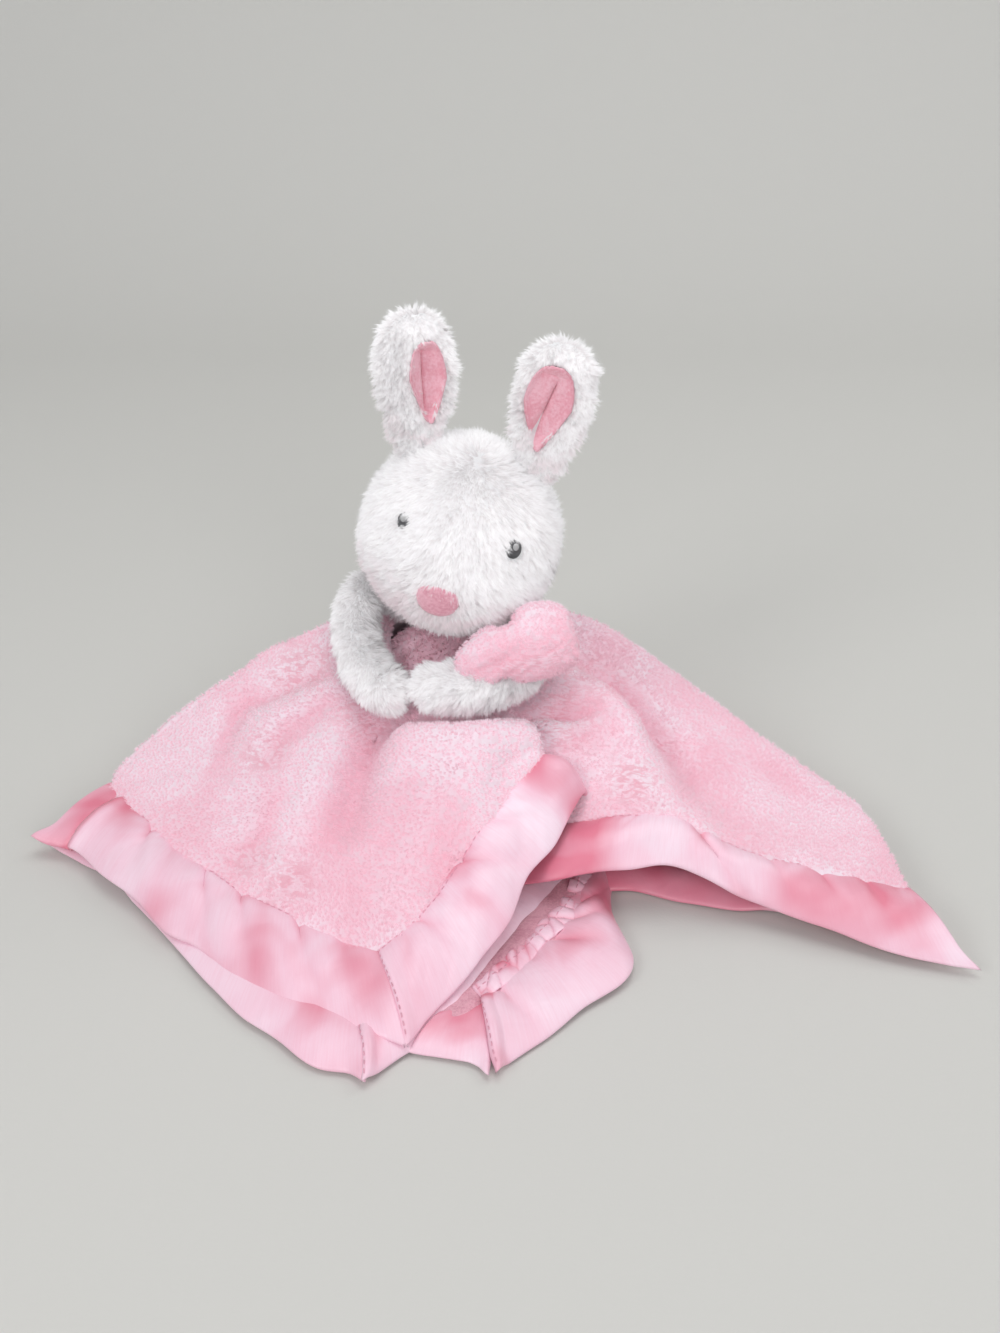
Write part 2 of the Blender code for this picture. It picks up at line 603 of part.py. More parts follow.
def make_ear(side_name):
    hinge, root_width, width, up, out = ear_axes(side_name)
    forward = width.cross(up)
    root_forward = root_width.cross(out)
    back_rings = []
    lining_rings = []
    for height, half_width, half_thickness in ear_stations():
        share = max(height / EAR_LENGTH, 0)
        blend = min(share / EAR_BLEND_SHARE, 1)
        across_way = (root_width * (1 - blend) + width * blend).normalized()
        forward_way = (root_forward * (1 - blend) + forward * blend).normalized()
        rise_way = out if height < 0 else up
        middle = hinge + rise_way * height
        ring = []
        for index in range(EAR_SEGMENTS):
            angle = 2 * math.pi * index / EAR_SEGMENTS
            across = half_width * math.cos(angle)
            depth = half_thickness * math.sin(angle) + ear_bend(share, across, half_width)
            ring.append(middle + across_way * across + forward_way * depth)
        back_rings.append(ring)
        if LINING_LOW_SHARE < share < LINING_HIGH_SHARE:
            middle_share = (LINING_LOW_SHARE + LINING_HIGH_SHARE) / 2
            past = (share - middle_share) / (LINING_HIGH_SHARE - middle_share)
            narrow = math.sqrt(1 - past ** LINING_END_POWER)
            lining_rings.append(lining_ring(middle, across_way, forward_way, share,
                                            half_width, half_thickness, narrow))
    add_object(side_name + "_ear_back", ring_loft("ear_back", back_rings), plush)
    add_object(side_name + "_ear_lining", ring_loft("ear_lining", lining_rings), lining)


def lining_ring(middle, across_way, forward, share, half_width, half_thickness, narrow):
    """Section of the lining, laid on the front of the ear's back."""
    reach = half_width * LINING_WIDTH_SHARE * narrow
    ring = []
    for index in range(EAR_SEGMENTS):
        angle = 2 * math.pi * index / EAR_SEGMENTS
        across = reach * math.cos(angle)
        face = half_thickness * math.sqrt(1 - (across / half_width) ** 2)
        face += ear_bend(share, across, half_width) + SEAT_GAP
        lift = LINING_THICKNESS * (0.5 + 0.5 * math.sin(angle))
        ring.append(middle + across_way * across + forward * (face + SEAT_GAP + lift))
    return ring


def arm_tube(name, shares, inset, run_out=0, ends=0):
    """A tapered tube along the arm, as a mesh, inset from its skin. Its shoulder end can run
    out, and so many points can be left off at the paw."""
    route = smooth_line(shares, 2)
    route = route[:len(route) - ends]
    points = [Vector((across * ARM_REACH, -forward * ARM_REACH, NECK_HEIGHT + up * ARM_REACH))
              for across, forward, up, _ in route]
    points[0] += (points[0] - points[1]).normalized() * run_out
    points[-1] += (points[-2] - points[-1]).normalized() * (inset - ARM_WALL if ends else inset)
    curve = bpy.data.curves.new(name, "CURVE")
    curve.dimensions = "3D"
    curve.bevel_depth = 1
    curve.bevel_resolution = 3
    curve.use_fill_caps = True
    spline = curve.splines.new("POLY")
    spline.points.add(len(points) - 1)
    for corner, point, row in zip(spline.points, points, route):
        corner.co = (*point, 1)
        corner.radius = ARM_RADIUS * row[3] - inset
    guide = bpy.data.objects.new(name, curve)
    bpy.context.scene.collection.objects.link(guide)
    graph = bpy.context.evaluated_depsgraph_get()
    mesh = bpy.data.meshes.new_from_object(guide.evaluated_get(graph))
    bpy.data.objects.remove(guide)
    shape = bmesh.new()
    shape.from_mesh(mesh)
    bmesh.ops.remove_doubles(shape, verts=shape.verts, dist=WELD_DISTANCE)
    bmesh.ops.recalc_face_normals(shape, faces=shape.faces)
    shape.to_mesh(mesh)
    shape.free()
    mesh.materials.clear()
    return mesh


def make_arm(side_name, shares):
    """A cover open at the shoulder over its stuffing."""
    cover = add_object(side_name + "_arm_cover", arm_tube("cover", shares, 0), plush)
    inside = arm_tube("inside", shares, ARM_WALL, CUT_OVERRUN, 1)
    cut(cover, add_cutter(side_name + "_arm_hollow", inside))
    filling = arm_tube("filling", shares, ARM_WALL + 2 * SEAT_GAP, 0, 1)
    add_object(side_name + "_arm_stuffing", filling, stuffing)


def make_held_fold():
    """A plump fold of the blanket, drawn in at its lower left where it comes out of the arms."""
    across, forward, up = FOLD_PLACE_SHARES
    middle = Vector((across * ARM_REACH, -forward * ARM_REACH, NECK_HEIGHT + up * ARM_REACH))
    mesh = mesh_from("held_fold", lambda shape: bmesh.ops.create_cube(shape, size=1))
    for corner in mesh.vertices:
        if corner.co.x < 0:
            corner.co.z *= FOLD_NARROW_SHARE
            corner.co.y *= FOLD_THIN_SHARE
    mesh.transform(
        Matrix.Translation(middle) @ Matrix.Rotation(FOLD_LEAN, 4, "X")
        @ Matrix.Rotation(FOLD_TIP, 4, "Y")
        @ Matrix.Diagonal((FOLD_WIDTH * CAGE_SHARE, FOLD_DEPTH * CAGE_SHARE,
                           FOLD_HEIGHT * CAGE_SHARE, 1)))
    fold = add_object("held_blanket_fold", mesh, fleece)
    rounding = fold.modifiers.new("round", "SUBSURF")
    rounding.levels = 3
    rounding.render_levels = 3
    arm_clear = arm_tube("arm_clear", RIGHT_ARM_SHARES, -SEAT_GAP, SEAT_GAP)
    head_clear = add_cutter("head_clear", head_form("head_clear", -FOLD_HEAD_GAP))
    cut(fold, add_cutter("right_arm_clear", arm_clear), head_clear)


def make_gathers():
    """Pleated cloth bunched under the neck, from the floor layer up to the arms."""
    foot = FLEECE_THICKNESS + SEAT_GAP
    top = NECK_HEIGHT
    segments = GATHERS_PLEATS * 4
    rings = []
    for height_share, radius_share in GATHERS_PROFILE_SHARES:
        radius = GATHERS_FOOT_RADIUS * radius_share
        ring = []
        for index in range(segments):
            angle = 2 * math.pi * index / segments
            reach = radius + GATHERS_PLEAT_DEPTH * math.cos(GATHERS_PLEATS * angle)
            ring.append(Vector((reach * math.cos(angle), reach * math.sin(angle) + GATHERS_BACK,
                                foot + (top - foot) * height_share)))
        rings.append(ring)
    gathers = add_object("neck_gathers", ring_loft("gathers", rings), fleece)
    depth = NECK_STEM_SINK + SEAT_GAP + CUT_OVERRUN
    centre = Vector((0, NECK_BACK, NECK_HEIGHT + CUT_OVERRUN - depth / 2))
    bore = cylinder("neck_bore", NECK_STEM_RADIUS + SEAT_GAP, depth, Matrix.Translation(centre))
    cut(gathers, add_cutter("neck_bore", bore))


# Blanket

def place(share):
    x, y, z = share
    return (x * BLANKET_REACH, y * BLANKET_REACH, z * NECK_HEIGHT)


def floor_place(share, thickness):
    return (share[0] * BLANKET_REACH, share[1] * BLANKET_REACH, thickness / 2)


def upper_sheet(name, lines, thickness, material, gap=SEAM_GAP):
    raised = [[place(share) for share in line] for line in lines]
    return sheet(name, raised, thickness, material, gap)


def floor_sheet(name, lines, thickness, material, gap=SEAM_GAP):
    flat = [[floor_place(share, thickness) for share in line] for line in lines]
    return sheet(name, flat, thickness, material, gap)


def strip_lines(seam, edge):
    """Seam, middle and edge of a binding strip, with its middle swollen."""
    swell = BINDING_SWELL / NECK_HEIGHT
    middle = [tuple((a + b) / 2 for a, b in zip(s, e)) for s, e in zip(seam, edge)]
    middle = [(x, y, z + swell) for x, y, z in middle]
    return [seam, middle, edge]


def make_top_layer():
    seam = LEFT_SEAM_SHARES + FRONT_SEAM_SHARES[1:]
    rays = [ray + [end] for ray, end in zip(FRONT_RAY_SHARES, seam)]
    _, front_clear = upper_sheet("blanket_front_panel", rays, FLEECE_THICKNESS, fleece)
    rays = [ray + [end] for ray, end in zip(RIGHT_RAY_SHARES, RIGHT_SEAM_SHARES)]
    right_panel, right_clear = upper_sheet("blanket_right_panel", rays, FLEECE_THICKNESS, fleece)
    cut(right_panel, front_clear)
    clears = [front_clear, right_clear]
    for name, seam, edge in (
        ("binding_left", LEFT_SEAM_SHARES, LEFT_EDGE_SHARES),
        ("binding_front", FRONT_SEAM_SHARES, FRONT_EDGE_SHARES),
        ("binding_right", RIGHT_SEAM_SHARES, RIGHT_EDGE_SHARES),
    ):
        strip, clear = upper_sheet(name, strip_lines(seam, edge), BINDING_THICKNESS, satin,
                                   STRIP_SEAM_GAP)
        cut(strip, *clears)
        clears.append(clear)
    return front_clear, right_clear


def make_floor_layer():
    """The half folded under, its binding, and the corner turned over beside it."""
    panel, panel_clear = floor_sheet(
        "blanket_under_panel", [UNDER_BACK_SHARES, UNDER_MIDDLE_SHARES, UNDER_FRONT_SHARES],
        FLEECE_THICKNESS, fleece)
    clears = [panel_clear]
    for name, seam, edge in (
        ("binding_under_left", UNDER_LEFT_SEAM_SHARES, UNDER_LEFT_EDGE_SHARES),
        ("binding_under_front", UNDER_FRONT_SEAM_SHARES, UNDER_FRONT_EDGE_SHARES),
        ("binding_under_right", UNDER_RIGHT_SEAM_SHARES, UNDER_RIGHT_EDGE_SHARES),
        ("binding_corner", CORNER_SEAM_SHARES, CORNER_EDGE_SHARES),
    ):
        strip, clear = floor_sheet(name, [seam, edge], BINDING_THICKNESS, satin,
                                   STRIP_SEAM_GAP)
        cut(strip, *clears)
        clears.append(clear)
    flap, _ = floor_sheet("blanket_corner_flap", [CORNER_CREASE_SHARES, CORNER_SEAM_SHARES],
                          FLEECE_THICKNESS, fleece, STRIP_SEAM_GAP)
    cut(flap, *clears)
    return panel_clear


def make_back(clears):
    """The back half, hanging from the ridge to the floor in soft flutes."""
    foot = FLEECE_THICKNESS / NECK_HEIGHT
    lines = []
    for (x, y, z), (middle, low) in zip(BACK_RIDGE_SHARES, BACK_SPREAD_SHARES):
        lines.append([(x, y, z), (x, y + middle, foot + (z - foot) / 2), (x, y + low, foot)])
    back, _ = upper_sheet("blanket_back_panel", lines, FLEECE_THICKNESS, fleece)
    cut(back, *clears)


clear_scene()
parts = new_collection("comfort_blanket_lovey")
cutters = new_collection("cutters")
plush = new_material("white_plush", WHITE_PLUSH, 0.95)
fleece = new_material("pink_fleece", PINK_FLEECE, 0.95)
satin = new_material("pink_satin", PINK_SATIN, 0.35)
lining = new_material("ear_lining", PINK_LINING, 0.9)
nose_felt = new_material("nose_felt", PINK_NOSE, 0.85)
thread = new_material("eye_thread", DARK_THREAD, 0.6)
glint_thread = new_material("glint_thread", WHITE_PLUSH, 0.6)
stuffing = new_material("stuffing", STUFFING, 1.0)

make_head()
make_neck()
make_face()
for ear in EARS:
    make_ear(ear)
make_arm("left", LEFT_ARM_SHARES)
make_arm("right", RIGHT_ARM_SHARES)
make_held_fold()
make_gathers()
top_clears = make_top_layer()
floor_clear = make_floor_layer()
make_back([*top_clears, floor_clear])
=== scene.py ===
import math

import bmesh
import bpy
import numpy as np
from mathutils import Matrix, Vector


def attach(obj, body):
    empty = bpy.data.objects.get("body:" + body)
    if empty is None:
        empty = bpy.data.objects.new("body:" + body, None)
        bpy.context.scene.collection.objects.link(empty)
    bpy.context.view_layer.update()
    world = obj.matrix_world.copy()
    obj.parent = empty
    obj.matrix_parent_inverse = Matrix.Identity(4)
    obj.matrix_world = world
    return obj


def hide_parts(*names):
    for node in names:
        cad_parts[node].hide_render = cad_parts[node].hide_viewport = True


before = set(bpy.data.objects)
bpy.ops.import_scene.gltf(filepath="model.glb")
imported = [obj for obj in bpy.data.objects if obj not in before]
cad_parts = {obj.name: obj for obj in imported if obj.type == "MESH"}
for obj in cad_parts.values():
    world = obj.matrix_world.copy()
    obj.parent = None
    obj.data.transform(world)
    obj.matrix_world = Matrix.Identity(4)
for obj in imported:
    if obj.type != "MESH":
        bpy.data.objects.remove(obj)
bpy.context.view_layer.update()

# Comfort blanket lovey: plush rabbit head, ears and arms on a fleece blanket with satin binding.
# Metres, +Z up, the rabbit faces -Y. Left and right are the viewer's.

mm = 0.001
blanketReach = 178 * mm      # half the blanket's side; the lines below are shares of it
neckHeight = 62 * mm         # heights below are shares of this


# ---- noise, splines and meshes

def latticeValue(cells, seed):
    mixed = cells[..., 0] * 374761393 + cells[..., 1] * 668265263 + cells[..., 2] * 974634777
    mixed = (mixed + seed * 144269504) & 0xffffffff
    mixed = ((mixed ^ (mixed >> 13)) * 1274126177) & 0xffffffff
    return ((mixed ^ (mixed >> 16)) & 0xffff) / 65535


def cloudNoise(points, size, seed=0):
    # smooth noise from -1 to 1 with lumps of about one size
    spot = np.asarray(points, float) / size
    cell = np.floor(spot).astype(np.int64)
    part = spot - cell
    part = part * part * (3 - 2 * part)
    total = 0
    for corner in np.ndindex(2, 2, 2):
        weight = np.prod(np.where(corner, part, 1 - part), axis=-1)
        total = total + weight * latticeValue(cell + np.array(corner), seed)
    return total * 2 - 1


def splineAt(points, params):
    # Catmull-Rom through the points, at any parameters from 0 to the last point's index
    points = np.asarray(points, float)
    padded = np.concatenate([[2 * points[0] - points[1]], points, [2 * points[-1] - points[-2]]])
    params = np.clip(np.asarray(params, float), 0, len(points) - 1)
    index = np.minimum(params.astype(int), len(points) - 2)
    t = (params - index).reshape((-1,) + (1,) * (points.ndim - 1))
    a, b, c, d = padded[index], padded[index + 1], padded[index + 2], padded[index + 3]
    return (b + (c - a) * t / 2 + (2 * a - 5 * b + 4 * c - d) * t**2 / 2
            + (3 * b - a - 3 * c + d) * t**3 / 2)


def clothGrid(lines, along, across):
    # lines[i][j] are control points: i runs along the cloth, j across it
    points = np.array(lines, float)
    rows = splineAt(points, np.linspace(0, len(points) - 1, along))
    across = np.asarray(across, float) * (points.shape[1] - 1)
    return np.swapaxes(splineAt(np.swapaxes(rows, 0, 1), across), 0, 1)


def gridNormals(grid):
    down = np.gradient(grid, axis=0)
    over = np.gradient(grid, axis=1)
    normal = np.cross(down, over)
    return normal / np.maximum(np.linalg.norm(normal, axis=-1, keepdims=True), 1e-12)


def unit(vector):
    vector = np.asarray(vector, float)
    return vector / np.maximum(np.linalg.norm(vector, axis=-1, keepdims=True), 1e-12)


def eased(grid, times):
    # each inner point drawn towards its neighbours, the border left where it is
    out = grid.copy()
    for _ in range(times):
        out[1:-1, 1:-1] = (out[:-2, 1:-1] + 2 * out[1:-1, 1:-1] + out[2:, 1:-1]) / 4
        out[1:-1, 1:-1] = (out[1:-1, :-2] + 2 * out[1:-1, 1:-1] + out[1:-1, 2:]) / 4
    return out


def toReach(shares):
    return np.array(shares, float) * [blanketReach, blanketReach, neckHeight]


def pressFolds(grid, folds):
    # folds: a line over the floor in reach shares, its depth and width in mm
    for fold in folds:
        line = np.array(fold["line"], float) * blanketReach
        line = splineAt(line, np.linspace(0, len(line) - 1, len(line) * 6))
        flat = grid[..., :2].reshape(-1, 1, 2)
        away = np.linalg.norm(flat - line[None], axis=-1)
        nearest = away.argmin(axis=1)
        ends = np.sin(np.linspace(0.12, math.pi - 0.12, len(line))) ** 0.6
        push = np.exp(-(away.min(axis=1) / (fold["width"] * mm)) ** 2) * ends[nearest]
        grid[..., 2] += (push * fold["depth"] * mm).reshape(grid.shape[:2])
    return grid


def newObject(name, verts, faces, material, smooth=True):
    mesh = bpy.data.meshes.new(name)
    mesh.from_pydata([tuple(v) for v in verts], [], [tuple(f) for f in faces])
    mesh.materials.append(material)
    if smooth:
        mesh.shade_smooth()
    thing = bpy.data.objects.new(name, mesh)
    bpy.context.scene.collection.objects.link(thing)
    return thing


def addAttribute(thing, name, values, kind="FLOAT"):
    layer = thing.data.attributes.new(name, kind, "POINT")
    values = np.asarray(values, np.float32).ravel()
    layer.data.foreach_set("vector" if kind == "FLOAT_VECTOR" else "value", values)


def shellFromGrid(name, grid, half, material, wayMap=None):
    # a closed cloth: the grid is its middle and half is half its thickness, 0 at the border
    rows, cols = grid.shape[:2]
    normal = gridNormals(grid)
    half = half.copy()
    half[0], half[-1], half[:, 0], half[:, -1] = 0, 0, 0, 0
    upper = grid + normal * half[..., None]
    lower = grid - normal * half[..., None]
    upperIndex = np.arange(rows * cols).reshape(rows, cols)
    lowerIndex = upperIndex.copy()
    inner = (rows - 2) * (cols - 2)
    lowerIndex[1:-1, 1:-1] = rows * cols + np.arange(inner).reshape(rows - 2, cols - 2)
    verts = np.concatenate([upper.reshape(-1, 3), lower[1:-1, 1:-1].reshape(-1, 3)])
    faces = []
    for index, order in ((upperIndex, (0, 1, 2, 3)), (lowerIndex, (3, 2, 1, 0))):
        corners = np.stack([index[:-1, :-1], index[1:, :-1], index[1:, 1:], index[:-1, 1:]], -1)
        faces.append(corners.reshape(-1, 4)[:, order])
    thing = newObject(name, verts, np.concatenate(faces), material)
    if wayMap is not None:
        both = np.concatenate([wayMap.reshape(-1, 2), wayMap[1:-1, 1:-1].reshape(-1, 2)])
        layer = thing.data.uv_layers.new(name="clothWay")
        loops = np.empty(len(thing.data.loops), np.int64)
        thing.data.loops.foreach_get("vertex_index", loops)
        layer.data.foreach_set("uv", both[loops].astype(np.float32).ravel())
    return thing


def closedLoft(name, rings, material):
    # rings[i][j]: each ring closes on itself, the first and last ones close to a point
    rings = np.asarray(rings)
    count, around = rings.shape[:2]
    verts = np.concatenate([rings.reshape(-1, 3), rings[0].mean(0)[None],
                            rings[-1].mean(0)[None]])
    index = np.arange(count * around).reshape(count, around)
    after = np.roll(index, -1, axis=1)
    faces = np.stack([index[:-1], after[:-1], after[1:], index[1:]], -1).reshape(-1, 4).tolist()
    first, last = count * around, count * around + 1
    for j in range(around):
        faces.append((first, index[0][(j + 1) % around], index[0][j]))
        faces.append((last, index[-1][j], index[-1][(j + 1) % around]))
    thing = newObject(name, verts, faces, material)
    shape = bmesh.new()
    shape.from_mesh(thing.data)
    bmesh.ops.recalc_face_normals(shape, faces=shape.faces)
    shape.to_mesh(thing.data)
    shape.free()
    return thing


def pointsOf(thing):
    values = np.empty(len(thing.data.vertices) * 3, np.float32)
    thing.data.vertices.foreach_get("co", values)
    return values.reshape(-1, 3).astype(float)


def normalsOf(thing):
    normals = np.empty(len(thing.data.vertices) * 3, np.float32)
    thing.data.vertices.foreach_get("normal", normals)
    return normals.reshape(-1, 3).astype(float)


def combAlong(skinNormals, towards):
    # the part of a direction that lies in the skin
    flat = towards - skinNormals * (towards * skinNormals).sum(-1, keepdims=True)
    return flat / np.maximum(np.linalg.norm(flat, axis=-1, keepdims=True), 1e-9)


def lengthsAlong(grid, axis):
    # metres run from the grid's first line, averaged over the other axis
    step = np.linalg.norm(np.diff(grid, axis=axis), axis=-1)
    run = np.cumsum(step.mean(axis=1 - axis))
    return np.concatenate([[0], run])


def wayOf(grid):
    along = lengthsAlong(grid, 0)
    over = lengthsAlong(grid, 1)
    return np.stack(np.meshgrid(along, over, indexing="ij"), -1)


def borderDistance(grid):
    # metres from each grid point to the nearest border, measured along the grid
    along, over = lengthsAlong(grid, 0), lengthsAlong(grid, 1)
    a = np.minimum(along, along[-1] - along)
    b = np.minimum(over, over[-1] - over)
    return np.minimum(a[:, None], b[None])


def roundedHalf(grid, half):
    away = borderDistance(grid)
    return half * np.sqrt(np.clip(1 - (1 - np.minimum(away / (half * 1.6), 1)) ** 2, 0, 1))


# ---- shader node groups

def newGroup(name, inputs, outputs):
    group = bpy.data.node_groups.new(name, "ShaderNodeTree")
    for label, kind, default in inputs:
        socket = group.interface.new_socket(label, in_out="INPUT", socket_type=kind)
        if default is not None:
            socket.default_value = default
    for label, kind in outputs:
        group.interface.new_socket(label, in_out="OUTPUT", socket_type=kind)
    return group, group.nodes.new("NodeGroupInput"), group.nodes.new("NodeGroupOutput")


def addNode(tree, kind, values=None, **settings):
    node = tree.nodes.new(kind)
    for key, value in settings.items():
        setattr(node, key, value)
    for key, value in (values or {}).items():
        if isinstance(value, bpy.types.NodeSocket):
            tree.links.new(value, node.inputs[key])
        else:
            node.inputs[key].default_value = value
    return node


def mathNode(tree, operation, a, b=0.0, clamp=False):
    return addNode(tree, "ShaderNodeMath", {0: a, 1: b}, operation=operation,
                   use_clamp=clamp).outputs[0]


def mixColour(tree, factor, a, b, kind="MIX"):
    node = addNode(tree, "ShaderNodeMix", data_type="RGBA", blend_type=kind)
    for key, value in ((0, factor), (6, a), (7, b)):
        if isinstance(value, bpy.types.NodeSocket):
            tree.links.new(value, node.inputs[key])
        else:
            node.inputs[key].default_value = value
    return node.outputs[2]


def placeIn(tree):
    return addNode(tree, "ShaderNodeTexCoord").outputs["Object"]


def attributeIn(tree, name):
    return addNode(tree, "ShaderNodeAttribute", attribute_name=name).outputs["Fac"]


def noiseAt(tree, place, scale, detail, **more):
    return addNode(tree, "ShaderNodeTexNoise", {"Vector": place, "Scale": scale,
                                                "Detail": detail, **more}).outputs[0]


def spread(tree, value, low, high, outLow=0.0, outHigh=1.0):
    return addNode(tree, "ShaderNodeMapRange", {0: value, 1: low, 2: high, 3: outLow, 4: outHigh},
                   interpolation_type="SMOOTHSTEP").outputs[0]


def makeLayGroup():
    # brushed zones of a pile: where the pile lies the other way it looks lighter
    group, start, end = newGroup(
        "pileLay",
        [("Zone Scale", "NodeSocketFloat", 24.0), ("Fine Scale", "NodeSocketFloat", 420.0)],
        [("Zone", "NodeSocketFloat"), ("Fine", "NodeSocketFloat")])
    place = placeIn(group)
    zone = noiseAt(group, place, start.outputs[0], 4.0, Roughness=0.55, Distortion=0.6)
    fine = noiseAt(group, place, start.outputs[1], 3.0, Roughness=0.6)
    group.links.new(spread(group, zone, 0.36, 0.66), end.inputs[0])
    group.links.new(fine, end.inputs[1])
    return group


def newMaterial(name, colour, roughness, **sockets):
    material = bpy.data.materials.new(name)
    material.use_nodes = True
    material.diffuse_color = (*colour, 1)
    tree = material.node_tree
    shader = tree.nodes["Principled BSDF"]
    shader.inputs["Base Color"].default_value = (*colour, 1)
    shader.inputs["Roughness"].default_value = roughness
    for label, value in sockets.items():
        shader.inputs[label.replace("_", " ")].default_value = value
    return material, tree, shader


def useGroup(tree, group, values=None):
    node = tree.nodes.new("ShaderNodeGroup")
    node.node_tree = group
    for key, value in (values or {}).items():
        node.inputs[key].default_value = value
    return node


def bumpFrom(tree, height, distance, strength=1.0, under=None):
    node = addNode(tree, "ShaderNodeBump", {"Height": height, "Distance": distance,
                                            "Strength": strength})
    if under is not None:
        tree.links.new(under, node.inputs["Normal"])
    return node.outputs[0]


layGroup = makeLayGroup()

# painted shade: deep in the hollows, root down among the hairs, ridge in the crinkles' valleys
fleeceLook = {
    "deep": (0.85, 0.545, 0.635, 1), "middle": (0.865, 0.62, 0.705, 1),
    # the palest colour is painted light on crests and on brushed-up pile
    "brushedAndLit": (0.88, 0.75, 0.82, 1), "root": (0.82, 0.485, 0.57, 1),
    "ridge": (0.76, 0.32, 0.405, 1), "zoneScale": 22.0, "ridgeScale": (230, 330, 760),
}
# the pale colour is a painted highlight and the deep one painted shade in the satin's folds
satinLook = {
    "base": (0.92, 0.585, 0.70, 1), "paintedHighlight": (0.94, 0.75, 0.85, 1), "deep": (0.77, 0.21, 0.30, 1),
    "slub": (1400.0, 90.0, 1.0), "roughness": 0.40,
}
# painted shade tinted pink: deep in the hollows and lower parts, root among the hairs
plushLook = {
    "deep": (0.86, 0.775, 0.80, 1), "middle": (0.90, 0.895, 0.905, 1),
    # the palest colour is painted light on the tops and on brushed-up pile
    "brushedAndLit": (0.935, 0.935, 0.94, 1), "root": (0.72, 0.69, 0.695, 1),
    "ridge": (0.70, 0.69, 0.695, 1), "zoneScale": 150.0, "ridgeScale": (230, 330, 760),
}


def layColour(tree, look):
    # painted light and shade: paler on the crests and deeper in the hollows; paler too where the
    # pile is brushed up
    lay = useGroup(tree, layGroup, {0: look["zoneScale"]})
    share = mathNode(tree, "ADD", mathNode(tree, "MULTIPLY", attributeIn(tree, "crest"), 0.42),
                     spread(tree, lay.outputs[0], 0.0, 1.0, 0.28, 0.72))
    colour = mixColour(tree, mathNode(tree, "MULTIPLY", share, 2.0, True), look["deep"],
                       look["middle"])
    past = mathNode(tree, "MULTIPLY", mathNode(tree, "SUBTRACT", share, 0.5), 2.0, True)
    colour = mixColour(tree, past, colour, look["brushedAndLit"])
    # where the skin is marked as crinkled, the pile stands in fine wavy ridges, with painted shade
    # in the valleys between them
    drawn = addNode(tree, "ShaderNodeMapping", {"Vector": placeIn(tree),
                                                "Scale": look["ridgeScale"]})
    ridges = noiseAt(tree, drawn.outputs[0], 1.0, 1.0, Distortion=1.2)
    valleyShade = mathNode(tree, "MULTIPLY", spread(tree, ridges, 0.40, 0.56, 0.60, 0.0),
                      attributeIn(tree, "crinkle"))
    return mixColour(tree, valleyShade, colour, look["ridge"]), lay.outputs[1]


def makeFleeceCloth():
    material, tree, shader = newMaterial("fleeceCloth", (0.90, 0.46, 0.53), 0.92,
                                         Sheen_Weight=0.35, Sheen_Roughness=0.5,
                                         Specular_IOR_Level=0.2)
    colour, fine = layColour(tree, fleeceLook)
    # fine grain, drawn towards the root colour: painted shade among the fibres
    colour = mixColour(tree, spread(tree, fine, 0.35, 0.7, 0.0, 0.3), colour, fleeceLook["root"])
    tree.links.new(colour, shader.inputs["Base Color"])
    tree.links.new(bumpFrom(tree, fine, 0.0004), shader.inputs["Normal"])
    return material


def makePile(name, look, sheen):
    material, tree, shader = newMaterial(name, look["middle"][:3], 0.85, Sheen_Weight=sheen,
                                         Specular_IOR_Level=0.15)
    # tufts darkened at random towards the root colour: painted shade between locks, as the pile
    # casts no shadow
    shade = mathNode(tree, "MULTIPLY", attributeIn(tree, "tuftShade"), 0.85)
    colour = mixColour(tree, shade, layColour(tree, look)[0], look["root"])
    # roots darker than tips: painted shade down in the pile
    rise = spread(tree, attributeIn(tree, "hairRise"), 0.0, 0.8)
    colour = mixColour(tree, rise, look["root"], colour)
    tree.links.new(colour, shader.inputs["Base Color"])
    return material


def makeSatin():
    material, tree, shader = newMaterial(
        "pinkSatin", satinLook["base"][:3], satinLook["roughness"], Sheen_Weight=0.2,
        Specular_IOR_Level=0.65, Sheen_Roughness=0.35, Anisotropic=0.5)
    way = addNode(tree, "ShaderNodeUVMap", uv_map="clothWay").outputs[0]
    drawn = addNode(tree, "ShaderNodeMapping", {"Vector": way, "Scale": satinLook["slub"]})
    slub = noiseAt(tree, drawn.outputs[0], 1.0, 3.0)
    place = placeIn(tree)
    cloudy = noiseAt(tree, place, 40.0, 1.0, Distortion=0.8)
    # painted light on the satin: 1 paints the shade of a fold, -1 a highlight where the weave
    # catches the light
    paintedSatinLight = mathNode(tree, "ADD", attributeIn(tree, "paintedSatinLight"),
                     spread(tree, cloudy, 0.34, 0.66, -0.2, 0.2))
    colour = mixColour(tree, mathNode(tree, "MULTIPLY", paintedSatinLight, -1.0, True), satinLook["base"],
                       satinLook["paintedHighlight"])
    colour = mixColour(tree, mathNode(tree, "MULTIPLY", paintedSatinLight, 1.0, True), colour,
                       satinLook["deep"])
    colour = mixColour(tree, spread(tree, slub, 0.35, 0.75, 0.0, 0.10), colour,
                       satinLook["deep"])
    tree.links.new(colour, shader.inputs["Base Color"])
    rough = spread(tree, slub, 0.3, 0.7, satinLook["roughness"] - 0.04,
                   satinLook["roughness"] + 0.06)
    tree.links.new(rough, shader.inputs["Roughness"])
    creases = noiseAt(tree, place, 110.0, 1.0, Distortion=1.4)
    first = bumpFrom(tree, creases, 0.0008, 0.3)
    tree.links.new(bumpFrom(tree, slub, 0.00003, 1.0, first), shader.inputs["Normal"])
    return material


